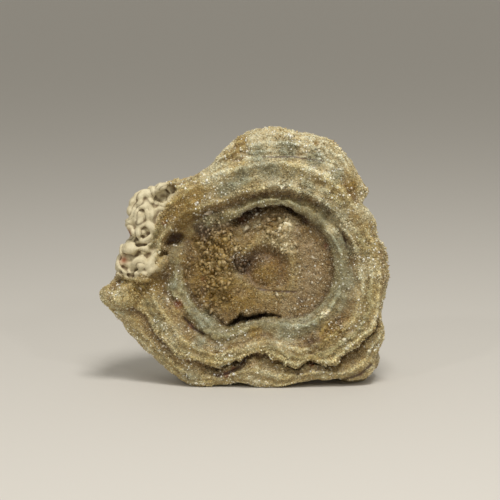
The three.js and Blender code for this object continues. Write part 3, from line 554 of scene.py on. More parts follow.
rows = skin_rows()
skin_radius = np.array([r for r, _, _ in rows])
skin_depth = np.array([d for _, d, _ in rows])
skin_growth = np.repeat([g for _, _, g in rows], RAYS)
turns = np.radians(ray_degrees)
skin_x, skin_z = skin_radius * np.cos(turns), skin_radius * np.sin(turns)
front = (skin_growth.reshape(skin_x.shape) < RIM_LINE)[:, :1]
raised = skin_depth + np.where(front, swelling_at(skin_x, skin_z), 0)
lean_back = LEAN_BACK + (TOP_LEAN_BACK - LEAN_BACK) * smooth(np.sin(turns))
lifted = skin_z * UP_STRETCH + LEAN * np.clip(raised, lean_back, LEAN_FRONT)
skin_points = np.stack(
    [BOWL_CENTRE[0] + skin_x, BOWL_CENTRE[1] - raised, BOWL_CENTRE[2] + lifted], axis=2
).reshape(-1, 3)
outline_grid = np.broadcast_to(around(OUTLINE, 1, ray_degrees), skin_x.shape)
degrees_grid = np.broadcast_to(ray_degrees, skin_x.shape)
skin_rind = rind_share(degrees_grid, skin_radius, skin_depth, outline_grid).reshape(-1)
print("skin points:", len(skin_points))

# %% [markdown]
# ## From numbers to a mesh
# Blender makes a mesh fastest from whole arrays of corners. One helper serves the skin, the knobs and later
# the crystals: it takes the points and the faces, which may have any number of corners.

# %% Mesh helper


def mesh_from_arrays(name, points, corners, corner_counts):
    mesh = bpy.data.meshes.new(name)
    mesh.vertices.add(len(points))
    mesh.vertices.foreach_set("co", np.ascontiguousarray(points, np.float32).ravel())
    mesh.loops.add(len(corners))
    mesh.loops.foreach_set("vertex_index", np.ascontiguousarray(corners, np.int32))
    mesh.polygons.add(len(corner_counts))
    starts = np.concatenate([[0], np.cumsum(corner_counts)[:-1]])
    mesh.polygons.foreach_set("loop_start", starts.astype(np.int32))
    mesh.update(calc_edges=True)
    return mesh


def points_and_normals(mesh):
    points, normals = (np.empty(len(mesh.vertices) * 3, np.float32) for _ in range(2))
    mesh.vertices.foreach_get("co", points)
    mesh.vertex_normals.foreach_get("vector", normals)
    return points.reshape(-1, 3).astype(float), normals.reshape(-1, 3).astype(float)


row_count = len(rows)
a = (np.arange(row_count - 1)[:, None] * RAYS + np.arange(RAYS)).ravel()
b = (np.arange(row_count - 1)[:, None] * RAYS + (np.arange(RAYS) + 1) % RAYS).ravel()
skin_quads = np.stack([a, a + RAYS, b + RAYS, b], axis=1).ravel()
skin_mesh = mesh_from_arrays("skin", skin_points, skin_quads, np.full(len(a), 4))
print("skin faces:", len(skin_mesh.polygons))

# %% [markdown]
# ## Lumps, grain and wrinkles
# The same surface carries several kinds of relief. The rind has large soft lumps. The crystal-covered face
# has small knobs, one or two millimetres across, where crystals grew in bunches, fine pleats that run
# outwards from the bowl, and thin ripples along the growth. The rind clusters on the left are wrinkled like a
# walnut. Each is added along the surface's own direction, so that overhangs stay clean.

# %% Relief on the skin and the knobs
RIND_LUMPS = [(9.5, 2.6, 0), (4.6, 1.0, 11)]
KNOB_RIND = 0.7
LUMP_MIDDLE = 0.7
PLEAT_HEIGHT = 0.25
RIPPLE_HEIGHT = 0.45
WRINKLE_WIDTH = 1.7


def wrinkles(points, width):
    """Worm-like lobes side by side, 0 in the creases between them and 1 along their crests."""
    along = 0.35 * points[:, 2] + 0.3 * points[:, 0] + 0.2 * points[:, 1]
    bend = 6.5 * soft_noise(points, 3.2 * width, 60) + 2.4 * soft_noise(points, 1.7 * width, 61)
    return np.abs(np.sin(math.pi * along / width + bend))


def crack_share(points):
    """How much each point lies in a thin crack (1 in the middle of it), and how deep that crack is."""
    x, z, toward_viewer = picture_place(points)
    share, depth = np.zeros(len(points)), np.zeros(len(points))
    for ends, half, deep in CRACKS:
        places = [(r * math.cos(math.radians(a)), r * math.sin(math.radians(a))) for a, r in ends]
        for (ax, az), (bx, bz) in zip(places, places[1:]):
            dx, dz = bx - ax, bz - az
            t = np.clip(((x - ax) * dx + (z - az) * dz) / (dx * dx + dz * dz), 0, 1)
            away = np.hypot(x - ax - t * dx, z - az - t * dz)
            here = np.exp(-((away / half) ** 2))
            share = np.maximum(share, here)
            depth = np.maximum(depth, here * deep)
    front_side = toward_viewer > -7
    return share * front_side, depth * front_side


def knobbiness(points):
    """1 on the two rind clusters of the left edge, where the rind is wrinkled."""
    x, z, toward_viewer = picture_place(points)
    degrees = np.mod(np.degrees(np.arctan2(z, x)), 360)
    ragged = soft_noise(points, 4.5, 63) + 0.6 * soft_noise(points, 1.6, 64)
    reach = smooth((24.5 - np.abs(degrees - 161) + 2 * ragged) / 4)
    reach = reach * smooth((np.hypot(x, z) - 30.6 + 0.6 * ragged) / 1.8)
    return reach * smooth((toward_viewer + 12 + 3 * ragged) / 4)


def pleats(points):
    """Fine folds that run outwards from the middle of the bowl, round 0."""
    x, z, toward_viewer = picture_place(points)
    angle, radius = np.arctan2(z, x), np.hypot(x, z)
    along = np.stack([24 * np.cos(angle), 24 * np.sin(angle), 0.22 * radius + 0.2 * toward_viewer], axis=1)
    return soft_noise(along, 1.1, 90) * smooth((radius - 5) / 5) * smooth((toward_viewer + 6) / 3)


def relief(points, rind, knobby):
    """How far each point moves out, in millimetres, for its share of rind."""
    big = sum(height * (lumps(points, cell, salt) - LUMP_MIDDLE) for cell, height, salt in RIND_LUMPS)
    bunches = 0.5 * (lumps(points, 2.3, 30) - LUMP_MIDDLE) + 0.3 * (lumps(points, 1.15, 40) - LUMP_MIDDLE)
    creased = 0.9 * wrinkles(points, WRINKLE_WIDTH) + 0.35 * lumps(points, 1.4, 57) - 0.8
    rind_grain = rind * (0.3 * lumps(points, 1.3, 55) + 0.3 * wrinkles(points, 2.4) - 0.3)
    crust = bunches + PLEAT_HEIGHT * pleats(points)
    return (1 - knobby) * (rind * big + (1 - 0.8 * rind) * crust + rind_grain) + knobby * creased


def ripples(points, growth, rind):
    """Thin raised lines along the growth, 1 on their crests, which fade out on the rind and in the bowl."""
    turns = growth + 0.5 * soft_noise(points, 9.0, 80) + 0.3 * soft_noise(points, 1.3, 81)
    sharp = 1 - np.abs(np.sin(math.pi * turns))
    here = smooth((growth - 5.4) / 1.2) * smooth((17.6 - growth) / 1.4)
    patchy = smooth(0.6 + 0.9 * soft_noise(points, 6.0, 82))
    return smooth(sharp / 0.8) * here * patchy * (1 - rind)


raw_points, raw_normals = points_and_normals(skin_mesh)
raw_knobby = knobbiness(raw_points)
skin_ripple = ripples(raw_points, skin_growth, np.maximum(skin_rind, raw_knobby))
moved = relief(raw_points, skin_rind, raw_knobby) - crack_share(raw_points)[1]
moved += RIPPLE_HEIGHT * (skin_ripple - 0.8)
skin_points = raw_points + raw_normals * moved[:, None]


def unit_ball(rings, sides):
    """Points and quads of a ball, as rings from pole to pole."""
    up = np.linspace(0, math.pi, rings)[:, None]
    turn = np.arange(sides) * 2 * math.pi / sides
    points = np.stack([np.sin(up) * np.cos(turn), np.sin(up) * np.sin(turn), np.cos(up) + 0 * turn], axis=2)
    c = (np.arange(rings - 1)[:, None] * sides + np.arange(sides)).ravel()
    d = (np.arange(rings - 1)[:, None] * sides + (np.arange(sides) + 1) % sides).ravel()
    return points.reshape(-1, 3), np.stack([c, c + sides, d + sides, d], axis=1)


def knob_points(place, half, turn, ball):
    c, s = math.cos(math.radians(turn)), math.sin(math.radians(turn))

    def turned(p):
        return np.stack([p[:, 0] * c - p[:, 2] * s, p[:, 1], p[:, 0] * s + p[:, 2] * c], axis=1)

    right, depth, up = place
    lift = LEAN * min(LEAN_FRONT, max(LEAN_BACK, depth))
    centre = np.array([right, -depth, up * UP_STRETCH + lift]) + BOWL_CENTRE
    points = turned(ball * half) + centre
    normals = turned(ball / np.array(half))
    normals /= np.linalg.norm(normals, axis=1)[:, None]
    out = relief(points, np.full(len(points), KNOB_RIND), knobbiness(points))
    return points + normals * out[:, None]


all_points, all_quads = [skin_points], [skin_quads.reshape(-1, 4)]
for balls, knobs in ((unit_ball(48, 96), KNOBS), (unit_ball(22, 44), NODULES)):
    for place, half, turn in knobs:
        all_quads.append(balls[1] + sum(map(len, all_points)))
        all_points.append(knob_points(place, half, turn, balls[0]))
rough_points = np.concatenate(all_points)
rough_quads = np.concatenate(all_quads)
print("points before melting together:", len(rough_points))

# %% [markdown]
# ## Melting it all into one surface
# The voxel remesh reads skin and knobs as one solid and wraps it in even little quads, so what crossed or
# overlapped is gone. A boolean union would keep the long thin triangles where they meet. The quads are a
# third of a millimetre wide, about one pixel of the photograph. The spots that the stone stands on are then
# worn flat at the height of the floor.

# %% Remesh
VOXEL = 0.37 * MM

rough_mesh = mesh_from_arrays(
    "rough_stone", rough_points * MM, rough_quads.ravel(), np.full(len(rough_quads), 4)
)
rough = bpy.data.objects.new("rough_stone", rough_mesh)
bpy.context.scene.collection.objects.link(rough)
remesh = rough.modifiers.new("melt", "REMESH")
remesh.mode = "VOXEL"
remesh.voxel_size = VOXEL
melted = bpy.data.meshes.new_from_object(rough.evaluated_get(bpy.context.evaluated_depsgraph_get()))
bpy.data.objects.remove(rough)

stone_points, stone_normals = points_and_normals(melted)
stone_points /= MM
stone_points[:, 2] = np.maximum(stone_points[:, 2], 0)
stone_quads = np.empty(len(melted.loops), np.int32)
melted.loops.foreach_get("vertex_index", stone_quads)
stone_quads = stone_quads.reshape(-1, 4)
print("stone quads:", len(stone_quads), "low and high, mm:",
      stone_points.min(0).round(1), stone_points.max(0).round(1))

# %% [markdown]
# ## What each point of the stone remembers
# Remeshing forgets the growth and the rind of the skin, so each new point takes them from the nearest point
# of the old skin, and wrinkles and cracks are worked out again at its place. Hollow compares the point with
# an eased copy of the surface: near 1 in creases and near 0 on crests. The materials use it to paint shade
# into the creases and light onto the crests. All are stored on the mesh as named attributes, which the
# materials read by name.

# %% Growth and rind on the new surface
tree = KDTree(len(skin_points))
for index, point in enumerate(skin_points):
    tree.insert(point, index)
tree.balance()
nearest = np.array([tree.find(point)[1] for point in stone_points])
stone_values = {
    "growth": skin_growth[nearest],
    "rind": skin_rind[nearest],
    "ripple": skin_ripple[nearest],
    "knobby": knobbiness(stone_points),
    "wrinkle": wrinkles(stone_points, WRINKLE_WIDTH),
    "crack": crack_share(stone_points)[0],
}


def neighbour_mean(values):
    """The mean of each point's neighbours along the edges of the quads."""
    total, count = np.zeros_like(values), np.zeros(len(values))
    for k in (1, 3):
        one, two = stone_quads.ravel(), np.roll(stone_quads, k, axis=1).ravel()
        count += np.bincount(one, minlength=len(values))
        for axis in range(values.shape[1]):
            total[:, axis] += np.bincount(one, weights=values[two, axis], minlength=len(values))
    return total / np.maximum(count, 1)[:, None]


EASING_ROUNDS = 12
DEEP_HOLLOW_MM = 0.5
eased = stone_points
for _ in range(EASING_ROUNDS):
    eased = (eased + neighbour_mean(eased)) / 2
hollow = np.sum((eased - stone_points) * stone_normals, axis=1)
stone_values["hollow"] = np.clip(0.5 + hollow / DEEP_HOLLOW_MM, 0, 1)
print("growth from", stone_values["growth"].min(), "to", stone_values["growth"].max())
print("hollow, tenths:", np.quantile(stone_values["hollow"], [0.1, 0.5, 0.9]).round(2))

# %% [markdown]
# ## Coloured patches
# Iron stained the stone in patches: golden and rusty ones, a purple-brown spot in the bowl, and clean
# grey-blue or nearly white places where the chalcedony shows. The brown patches are partly such stains and
# partly painted shade, laid in the holes, gaps and grooves under overhangs. Each patch is a soft round mark at
# a place on the face, and the material later frays its edge with noise. Painting an image would give the same
# patches, but only for one view, and could not be read or changed by hand.

# %% Patches
# Angle, radius, size (all as on the face) and strength of each patch.
PATCHES = {
    "milk": [
        [90, 33, 7.0, 0.9], [62, 33, 6.0, 0.9], [115, 29, 5.5, 0.8], [30, 28, 5.0, 0.8], [0, 29, 5.0, 0.6],
        [80, 25, 4.0, 0.6], [320, 30, 5.0, 0.3], [215, 31, 6.0, 0.5], [250, 22, 4.0, 0.3],
        [290, 22, 4.0, 0.5], [15, 35, 3.0, 0.7], [75, 38, 4.0, 0.9], [52, 38, 4.0, 0.7], [345, 26, 4.0, 0.5],
        [105, 36, 4.0, 0.8], [30, 33, 3.0, 0.7], [268, 31, 4.0, 0.4], [300, 35, 4.0, 0.3],
        [35, 24.5, 3.0, 0.6], [52, 25.5, 3.0, 0.6], [70, 25.5, 3.0, 0.6], [88, 25.5, 3.0, 0.5],
        [91, 38.0, 3.0, 0.9], [67, 38.4, 3.0, 0.9], [120, 29.4, 2.6, 0.7], [28, 31.8, 2.6, 0.6],
        [60, 34.5, 3.5, 0.8], [32, 36.5, 2.6, 0.8], [30, 21.4, 3.0, 0.5], [262, 21.0, 3.0, 0.5],
        [285, 19.4, 3.0, 0.5], [92, 28.6, 3.0, 0.5],
    ],
    "gold": [
        [99, 35.6, 2.4, 0.7], [60, 29.6, 1.8, 0.7], [75, 37.4, 1.6, 0.7], [42, 32.6, 2.4, 0.6],
        [133, 27.0, 3.4, 0.6], [145, 27.6, 3.4, 0.6], [180, 17.4, 4.0, 0.7], [196, 17.0, 3.6, 0.8],
        [210, 17.0, 3.4, 0.7], [231, 10.8, 3.0, 0.7], [309, 4.6, 3.0, 0.5], [320, 25.4, 2.6, 0.6],
        [187, 30.4, 3.2, 0.6],
        [150, 12, 4.6, 0.9], [165, 13, 4.4, 0.8], [178, 12, 3.5, 0.6], [192, 15, 3.6, 0.8],
        [205, 15, 3.6, 0.8], [215, 12, 3.5, 0.5], [238, 10.7, 2.6, 0.6], [263, 17.5, 2.8, 0.8],
        [316, 25.0, 2.8, 0.8], [322, 28, 3.0, 0.5], [30, 29, 3.2, 0.7], [43, 34.0, 1.5, 0.9],
        [56, 27.4, 2.2, 0.5], [67, 37.5, 1.4, 0.8], [101, 34, 2.6, 0.7], [106, 32, 2.6, 0.7],
        [141, 29.5, 3.6, 0.6], [152, 30.2, 2.4, 0.8], [140, 25.5, 4.0, 0.6], [152, 25, 3.5, 0.5],
        [189, 34.7, 4.4, 0.8], [182, 31.0, 2.6, 0.5], [205, 30.2, 2.2, 0.5], [231, 29, 3.2, 0.5],
        [251, 22.7, 3.0, 0.5], [278, 26.8, 3.0, 0.5], [295, 31.8, 3.0, 0.4], [10, 32.5, 2.6, 0.4],
        [0, 0.8, 4.2, 0.7], [62, 36, 2.5, 0.3], [128, 28, 3.5, 0.4], [300, 27.5, 2.5, 0.4],
        [158, 20.5, 3.6, 0.8], [172, 22.5, 3.2, 0.6], [186, 28.6, 2.6, 0.5], [308, 26.0, 3.0, 0.6],
        [217, 12.5, 4.2, 0.8], [236, 9.5, 3.6, 0.7], [250, 8.5, 3.0, 0.6], [200, 9.0, 3.0, 0.5],
        [185, 21.0, 3.0, 0.4], [205, 25.6, 2.4, 0.6], [222, 28.2, 2.0, 0.5], [22, 30.4, 2.6, 0.6],
    ],
    "rust": [
        [176.3, 38.2, 1.1, 1.0], [164.7, 38.2, 0.9, 0.9], [251.5, 30.9, 1.2, 1.0], [202.5, 25.2, 1.7, 0.8],
        [254, 28.9, 0.9, 0.8], [297.6, 29.8, 1.2, 0.7], [20, 18.8, 1.0, 0.7], [313, 40.2, 1.5, 0.5],
        [219, 25.2, 1.3, 0.7], [155, 29.6, 1.1, 0.6], [112, 14.6, 1.6, 0.5], [322, 38.6, 1.3, 0.4],
        [190, 16.5, 1.8, 0.4],
    ],
    "blue": [
        [116, 23.9, 2.6, 0.9], [108, 24.3, 2.2, 0.7], [65, 32.8, 2.6, 0.6], [78, 33, 3.0, 0.8],
        [92, 32.2, 2.8, 0.7], [52, 33.4, 2.2, 0.5], [222, 21, 3.4, 0.9], [212, 22.4, 2.4, 0.6],
        [190.5, 25, 2.4, 0.8], [230, 26.8, 2.8, 0.7], [241, 24.6, 2.6, 0.5], [236, 35.2, 3.2, 0.6],
        [222, 36.5, 3.0, 0.5], [207.5, 32.7, 3.2, 0.6], [300, 18.8, 3.6, 0.7], [290, 16.6, 2.6, 0.6],
        [312, 21, 3.2, 0.6], [345, 22.6, 3.4, 0.6], [0, 22.2, 3.0, 0.6], [20, 22, 3.0, 0.5],
        [40, 21.4, 2.8, 0.5], [60, 20.6, 2.4, 0.5], [68, 14.4, 2.2, 0.5], [96, 12.4, 2.6, 0.4],
        [112, 12.6, 2.0, 0.4], [72, 27.4, 2.6, 0.5], [88, 27.0, 2.6, 0.5], [198, 28.6, 2.6, 0.4],
        [310, 37.8, 2.4, 0.3],
        [101, 26.0, 3.4, 0.8], [84, 26.4, 3.4, 0.7], [92, 30.4, 2.6, 0.6], [78, 34.0, 3.4, 0.7],
        [64, 33.6, 3.4, 0.7], [51, 32.6, 3.0, 0.6], [61, 25.6, 3.0, 0.7], [34, 26.4, 3.0, 0.6],
        [12, 24.8, 3.0, 0.6], [354, 24.9, 3.0, 0.6], [335, 24.6, 3.0, 0.5], [45, 24.6, 2.6, 0.6],
        [290, 19.6, 2.6, 0.5], [19, 21.6, 2.4, 0.5], [248, 20.4, 2.6, 0.4], [75, 23.6, 2.4, 0.4],
    ],
    "pale": [
        [325.4, 21.4, 1.7, 1.0], [283, 21.4, 1.0, 0.9], [60, 13.0, 2.6, 0.5], [40, 9.0, 2.4, 0.7],
        [66, 8.2, 1.8, 0.5], [264, 30.6, 2.6, 0.6], [336, 34.3, 2.2, 0.6], [80, 23.2, 2.6, 0.5],
        [62, 24.4, 2.4, 0.4], [190, 41.5, 3.0, 0.4], [252, 18.6, 1.6, 0.4], [215, 18.8, 1.6, 0.3],
        [330, 33.4, 2.0, 0.4], [28, 25.6, 2.0, 0.4], [318, 4.6, 2.6, 0.35], [30, 21.4, 2.4, 0.4],
        [60, 15.0, 3.0, 0.5], [46, 9.8, 2.6, 0.4], [95, 12.0, 2.6, 0.4],
        [300, 18.6, 3.0, 0.45], [305, 12.5, 4.0, 0.3], [15, 12.0, 3.0, 0.2],
        [75, 39.5, 3.0, 0.7], [58, 40.2, 3.0, 0.6], [90, 38.8, 2.6, 0.7], [105, 35.6, 2.6, 0.6],
        [45, 37.6, 2.2, 0.5], [28, 34.4, 2.2, 0.6], [318, 41.5, 2.4, 0.4], [270, 34.0, 4.0, 0.4],
        [200, 41.0, 3.0, 0.5], [215, 38.6, 3.0, 0.5], [60, 30.6, 3.0, 0.5], [35, 34.2, 2.2, 0.5],
        [120, 32.6, 2.6, 0.4],
    ],
    "pink": [
        [20, 14, 5.0, 0.8], [352, 14, 5.0, 0.8], [328, 14, 4.6, 0.7], [50, 13, 4.0, 0.6],
        [305, 12, 4.0, 0.5], [355, 33.8, 3.0, 0.6],
        [7, 33.4, 2.6, 0.6], [209, 19.4, 2.0, 0.7], [165, 22, 3.2, 0.6], [135, 18.2, 2.6, 0.5],
        [176, 34.0, 3.2, 0.4], [120, 9.5, 2.2, 0.4], [226, 9.0, 2.6, 0.5], [246, 17.0, 1.6, 0.3],
        [45, 12, 2.4, 0.4], [290, 24.5, 2.2, 0.3],
    ],
    # Brown: partly brown stain, partly painted shade in holes, gaps and grooves under overhangs.
    "brown": [
        [178, 5.0, 2.2, 1.0], [168, 6.8, 1.6, 0.6], [103, 15.3, 1.9, 0.9], [113, 14.4, 1.9, 0.9],
        [93, 16.2, 1.4, 0.9], [64, 17.9, 1.2, 0.9], [48, 17.9, 1.1, 0.8], [62, 21.9, 1.0, 0.7],
        [70, 21.4, 1.0, 0.7], [78, 20.9, 1.0, 0.7], [87, 20.5, 1.0, 0.7], [96, 20.0, 1.0, 0.6],
        [160.5, 25.6, 1.8, 1.0], [321, 14.1, 2.0, 0.6], [200, 17.6, 2.2, 0.7], [340, 19.2, 1.2, 0.4],
        [215, 17.4, 1.8, 0.5], [150, 18.6, 2.6, 0.6], [171, 19.4, 2.4, 0.5], [184, 19.6, 2.0, 0.5],
        [143, 34.2, 2.0, 0.8], [184, 26.6, 1.2, 0.6], [194, 27.6, 1.1, 0.5], [245, 16.2, 1.2, 0.9],
        [256, 14.0, 1.2, 0.9], [268, 13.2, 1.0, 0.9], [130, 14.5, 1.6, 0.4], [348, 24.8, 1.4, 0.3],
        [335, 31.0, 2.2, 0.3], [20, 17.9, 1.4, 0.3], [130, 3.6, 3.4, 0.7], [160, 7.4, 3.0, 0.7],
        [60, 3.4, 2.4, 0.4],
        [146, 20.6, 3.0, 0.7], [160, 22.2, 2.4, 0.6], [180, 23.0, 2.4, 0.5], [152, 27.4, 2.6, 0.4],
        [305, 25.6, 3.4, 0.4], [325, 28.2, 3.4, 0.4], [185, 28.8, 2.6, 0.4], [247, 31.0, 3.0, 0.5],
        [258, 27.0, 2.6, 0.5], [290, 30.6, 2.4, 0.5], [300, 31.6, 2.0, 0.6],
        [312, 33.4, 2.0, 0.5], [322, 34.4, 2.0, 0.5], [235, 35.0, 3.0, 0.4],
        [305, 23.6, 3.0, 0.5], [325, 24.6, 3.0, 0.4], [62, 31.6, 1.6, 0.4],
    ],
}


def patch_masks(points):
    """For each kind of patch, how strongly it covers each point, from 0 to 1."""
    x, z, toward_viewer = picture_place(points)
    on_face = smooth((toward_viewer + 12) / 5)
    masks = {}
    for kind, patches in PATCHES.items():
        clear = np.ones(len(points))
        for degrees, radius, size, strength in patches:
            dx = x - radius * math.cos(math.radians(degrees))
            dz = z - radius * math.sin(math.radians(degrees))
            clear *= 1 - strength * np.exp(-(dx * dx + dz * dz) / (size * size) * 1.2)
        masks[kind] = (1 - clear) * on_face
    return masks


stone_values.update(patch_masks(stone_points))
print("patches:", {kind: len(patches) for kind, patches in PATCHES.items()})

# %% [markdown]
# The fine surface is kept as two pieces, the face with its edges and the plain back, which meet along one
# loop of shared corners. Both keep the shading directions of the whole surface, so that no seam shows.

# %% Face and back of the stone
SEAM_DEPTH = -6.5


def store(mesh, name, values):
    layer = mesh.attributes.new(name, "FLOAT", "POINT")
    layer.data.foreach_set("value", np.ascontiguousarray(values, np.float32))


def add_piece(name, points, corners, counts, values):
    """A mesh with its values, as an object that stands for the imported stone."""
    mesh = mesh_from_arrays(name, (points + CENTRE_SHIFT) * MM, corners, counts)
    for label, numbers in values.items():
        store(mesh, label, numbers)
    piece = bpy.data.objects.new(name, mesh)
    bpy.context.scene.collection.objects.link(piece)
    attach(piece, "root")
    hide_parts(NODE)
    return piece


def stone_piece(name, quads):
    used, corners = np.unique(quads, return_inverse=True)
    values = {label: v[used] for label, v in stone_values.items()}
    piece = add_piece(name, stone_points[used], corners.ravel(), np.full(len(quads), 4), values)
    piece.data.shade_smooth()
    piece.data.normals_split_custom_set_from_vertices(stone_normals[used].astype(np.float32))
    print(name, "triangles:", 2 * len(quads))
    return piece


quad_depth = BOWL_CENTRE[1] - stone_points[stone_quads][:, :, 1].mean(axis=1)
stone_objects = [
    stone_piece("stone_face", stone_quads[quad_depth >= SEAM_DEPTH]),
    stone_piece("stone_back", stone_quads[quad_depth < SEAM_DEPTH]),
]

# %% [markdown]
# ## The crystal crust
# Every part of the face is covered by quartz crystals about half a millimetre across. Only their tips show:
# six-sided points that stand roughly straight out of the surface, each turned and leaning a little its own
# way. A bump map could not give the ragged edge and the flashes of single faces, so every crystal is real
# geometry. They are made all at once as arrays, and kept as one piece for each zone of the face.

# %% Places for crystals
CRYSTAL_SPACING = 0.44
SIDES = 6
LARGEST_OF_BUNCH = 1.35
# Bunches of larger crystals: angle, radius, spread, number, half width.
BUNCHES = [
    [152, 12.0, 4.6, 130, 0.70], [172, 13.5, 4.4, 110, 0.70], [200, 14.0, 4.4, 90, 0.62],
    [140, 17.5, 3.6, 70, 0.55], [66, 13.0, 2.4, 40, 0.75], [82, 12.4, 2.2, 26, 0.65],
    [45, 8.6, 2.4, 60, 0.45], [72, 8.2, 2.0, 40, 0.33], [150, 30.5, 3.0, 60, 0.33],
    [325, 21.4, 1.4, 16, 0.5], [320, 27.0, 3.0, 40, 0.4], [190, 35.0, 3.0, 40, 0.4],
    [10, 26.2, 2.0, 50, 0.33], [28, 25.6, 2.0, 60, 0.34], [45, 25.0, 2.0, 60, 0.34],
    [60, 24.2, 2.0, 60, 0.35], [76, 23.0, 2.0, 60, 0.35], [92, 22.3, 2.0, 60, 0.35],
    [108, 21.6, 2.0, 50, 0.34], [240, 30.6, 2.4, 50, 0.34], [250, 28.0, 2.4, 50, 0.34],
    [262, 24.6, 2.2, 40, 0.34], [276, 24.6, 2.2, 50, 0.35], [287, 27.8, 2.2, 60, 0.35],
    [297, 29.0, 2.2, 60, 0.35], [306, 32.0, 2.2, 50, 0.35], [317, 33.0, 2.4, 50, 0.34],
    [330, 34.4, 2.4, 50, 0.33], [355, 34.4, 2.4, 60, 0.35], [5, 34.2, 2.4, 60, 0.33],
    [15, 33.0, 2.0, 40, 0.34], [60, 38.6, 3.0, 50, 0.34],
    [80, 37.6, 3.0, 50, 0.34], [215, 33.6, 3.0, 50, 0.33], [228, 32.4, 2.4, 50, 0.33],
]

random = np.random.default_rng(20)
mix = random.dirichlet(np.ones(4), len(stone_quads))
places = np.einsum("nc,ncd->nd", mix, stone_points[stone_quads])
facing = np.einsum("nc,ncd->nd", mix, stone_normals[stone_quads])
facing /= np.linalg.norm(facing, axis=1)[:, None]
owner = stone_quads[np.arange(len(stone_quads)), mix.argmax(axis=1)]
bare = np.maximum(np.maximum(stone_values["rind"], stone_values["knobby"]), stone_values["crack"])[owner]
open_place = (random.random(len(places)) > bare * 1.15) & (places[:, 2] > 0.25)

cells = np.floor(places / CRYSTAL_SPACING).astype(int)
order = random.permutation(np.flatnonzero(open_place))
_, first = np.unique(cells[order], axis=0, return_index=True)
small = order[first]

place_right, place_up, place_depth = picture_place(places)
large, large_sizes = [], []
for degrees, radius, spread, number, half in BUNCHES:
    dx = place_right - radius * math.cos(math.radians(degrees))
    dz = place_up - radius * math.sin(math.radians(degrees))
    weight = np.exp(-(dx * dx + dz * dz) / spread**2) * open_place * (place_depth > -7)
    large.append(random.choice(len(places), number, replace=False, p=weight / weight.sum()))
    large_sizes.append(half * np.minimum(random.lognormal(0, 0.3, number), LARGEST_OF_BUNCH))
large, large_sizes = np.concatenate(large), np.concatenate(large_sizes)
print("small crystals:", len(small), "large crystals:", len(large))

# %% [markdown]
# Crystal size changes from zone to zone: a little coarser in the bowl, fine on the smooth inner roll. Each
# crystal has its own number from 0, dull, to 1, clear. The clearest are larger than their neighbours and give
# the bright flashes, partly as real reflections of the lamps and partly as a painted glint in their colour,
# and they are commoner in some places than in others, as on the real crust.

# %% Shapes of crystals
ZONES = {
    "crystals_bowl": (0.0, 5.5, 0.27),
    "crystals_roll": (5.5, 8.2, 0.21),
    "crystals_terrace": (8.2, 10.4, 0.25),
    "crystals_ledge": (10.4, 13.4, 0.26),
    "crystals_lower_layer": (13.4, 16.4, 0.25),
    "crystals_rim": (16.4, 40.0, 0.24),
}


CLEAR_FROM, CLEAR_LARGER = 0.9, 1.4
LAST_BOWL_GROWTH = 6


def crystal_arrays(points, normals, sizes, leaning, tall):
    """Points, corners and corner counts of one six-sided tip on each place."""
    count = len(points)
    lean = normals + leaning * random.normal(size=(count, 3))
    up = lean / np.linalg.norm(lean, axis=1)[:, None]
    across = np.cross(up, random.normal(size=(count, 3)))
    across /= np.linalg.norm(across, axis=1)[:, None]
    along = np.cross(up, across)
    turn = np.arange(SIDES) * 2 * math.pi / SIDES
    width = sizes[:, None] * random.uniform(0.75, 1.2, (count, SIDES))
    foot = points - up * (0.3 * sizes)[:, None]
    ring = (
        foot[:, None]
        + across[:, None] * (np.cos(turn) * width)[..., None]
        + along[:, None] * (np.sin(turn) * width)[..., None]
    )
    off_centre = 0.2 * sizes[:, None] * random.normal(size=(count, 3))
    tip = foot + up * (sizes * (0.3 + tall * random.uniform(0.6, 1.2, count)))[:, None] + off_centre
    corners = np.concatenate([ring, tip[:, None]], axis=1)
    sides = [[k, (k + 1) % SIDES, SIDES] for k in range(SIDES)]
    pattern = np.array([v for side in sides for v in side] + list(range(SIDES - 1, -1, -1)))
    index = (np.arange(count)[:, None] * (SIDES + 1) + pattern).ravel()
    return corners.reshape(-1, 3), index, np.tile([3] * SIDES + [SIDES], count)


def crystal_piece(name, here, sizes, leaning, tall, clearest):
    sparkling = smooth(0.5 + 1.4 * soft_noise(places[here], 4.0, 95))
    single = random.random(len(here)) * clearest * (0.9 + 0.1 * sparkling)
    sizes = sizes * np.where(single > CLEAR_FROM, CLEAR_LARGER, 1.0)
    points, corners, counts = crystal_arrays(places[here], facing[here], sizes, leaning, tall)
    points[:, 2] = np.maximum(points[:, 2], 0)
    values = {label: np.repeat(v[owner[here]], SIDES + 1) for label, v in stone_values.items()}
    values["crystal"] = np.repeat(single, SIDES + 1)
    print(name, "crystals:", len(here), "triangles:", len(here) * (SIDES + SIDES - 2))
    return add_piece(name, points, corners, counts, values)


crystal_objects = []
for name, (low, high, size) in ZONES.items():
    growth_here = stone_values["growth"][owner[small]]
    here = small[(growth_here >= low) & (growth_here < high)]
    sizes = size * random.lognormal(0, 0.25, len(here))
    clearest = 0.96 if high < LAST_BOWL_GROWTH else 1.0
    crystal_objects.append(crystal_piece(name, here, sizes, leaning=0.28, tall=0.75, clearest=clearest))
crystal_objects.append(
    crystal_piece("crystals_large", large, large_sizes, leaning=0.75, tall=1.9, clearest=0.93)
)

# %% [markdown]
# ## The colours of the bands
# The growth value runs from the middle of the bowl outwards, so one colour ramp along it paints all the
# bands: brown in the grooves, beige on the crests, grey on the roll. A little noise is added to the growth
# first, so that the bands fray into each other, and faint thin lines run inside each band, as in any agate.
# It is a node group, because stone and crystals share it.

# %% Helpers for nodes


def linear(red, green, blue):
    """A colour as picked on a screen, 0 to 255, in the linear values that shaders take."""
    def one(v):
        v /= 255
        return v / 12.92 if v <= 0.04045 else ((v + 0.055) / 1.055) ** 2.4
    return one(red), one(green), one(blue), 1.0


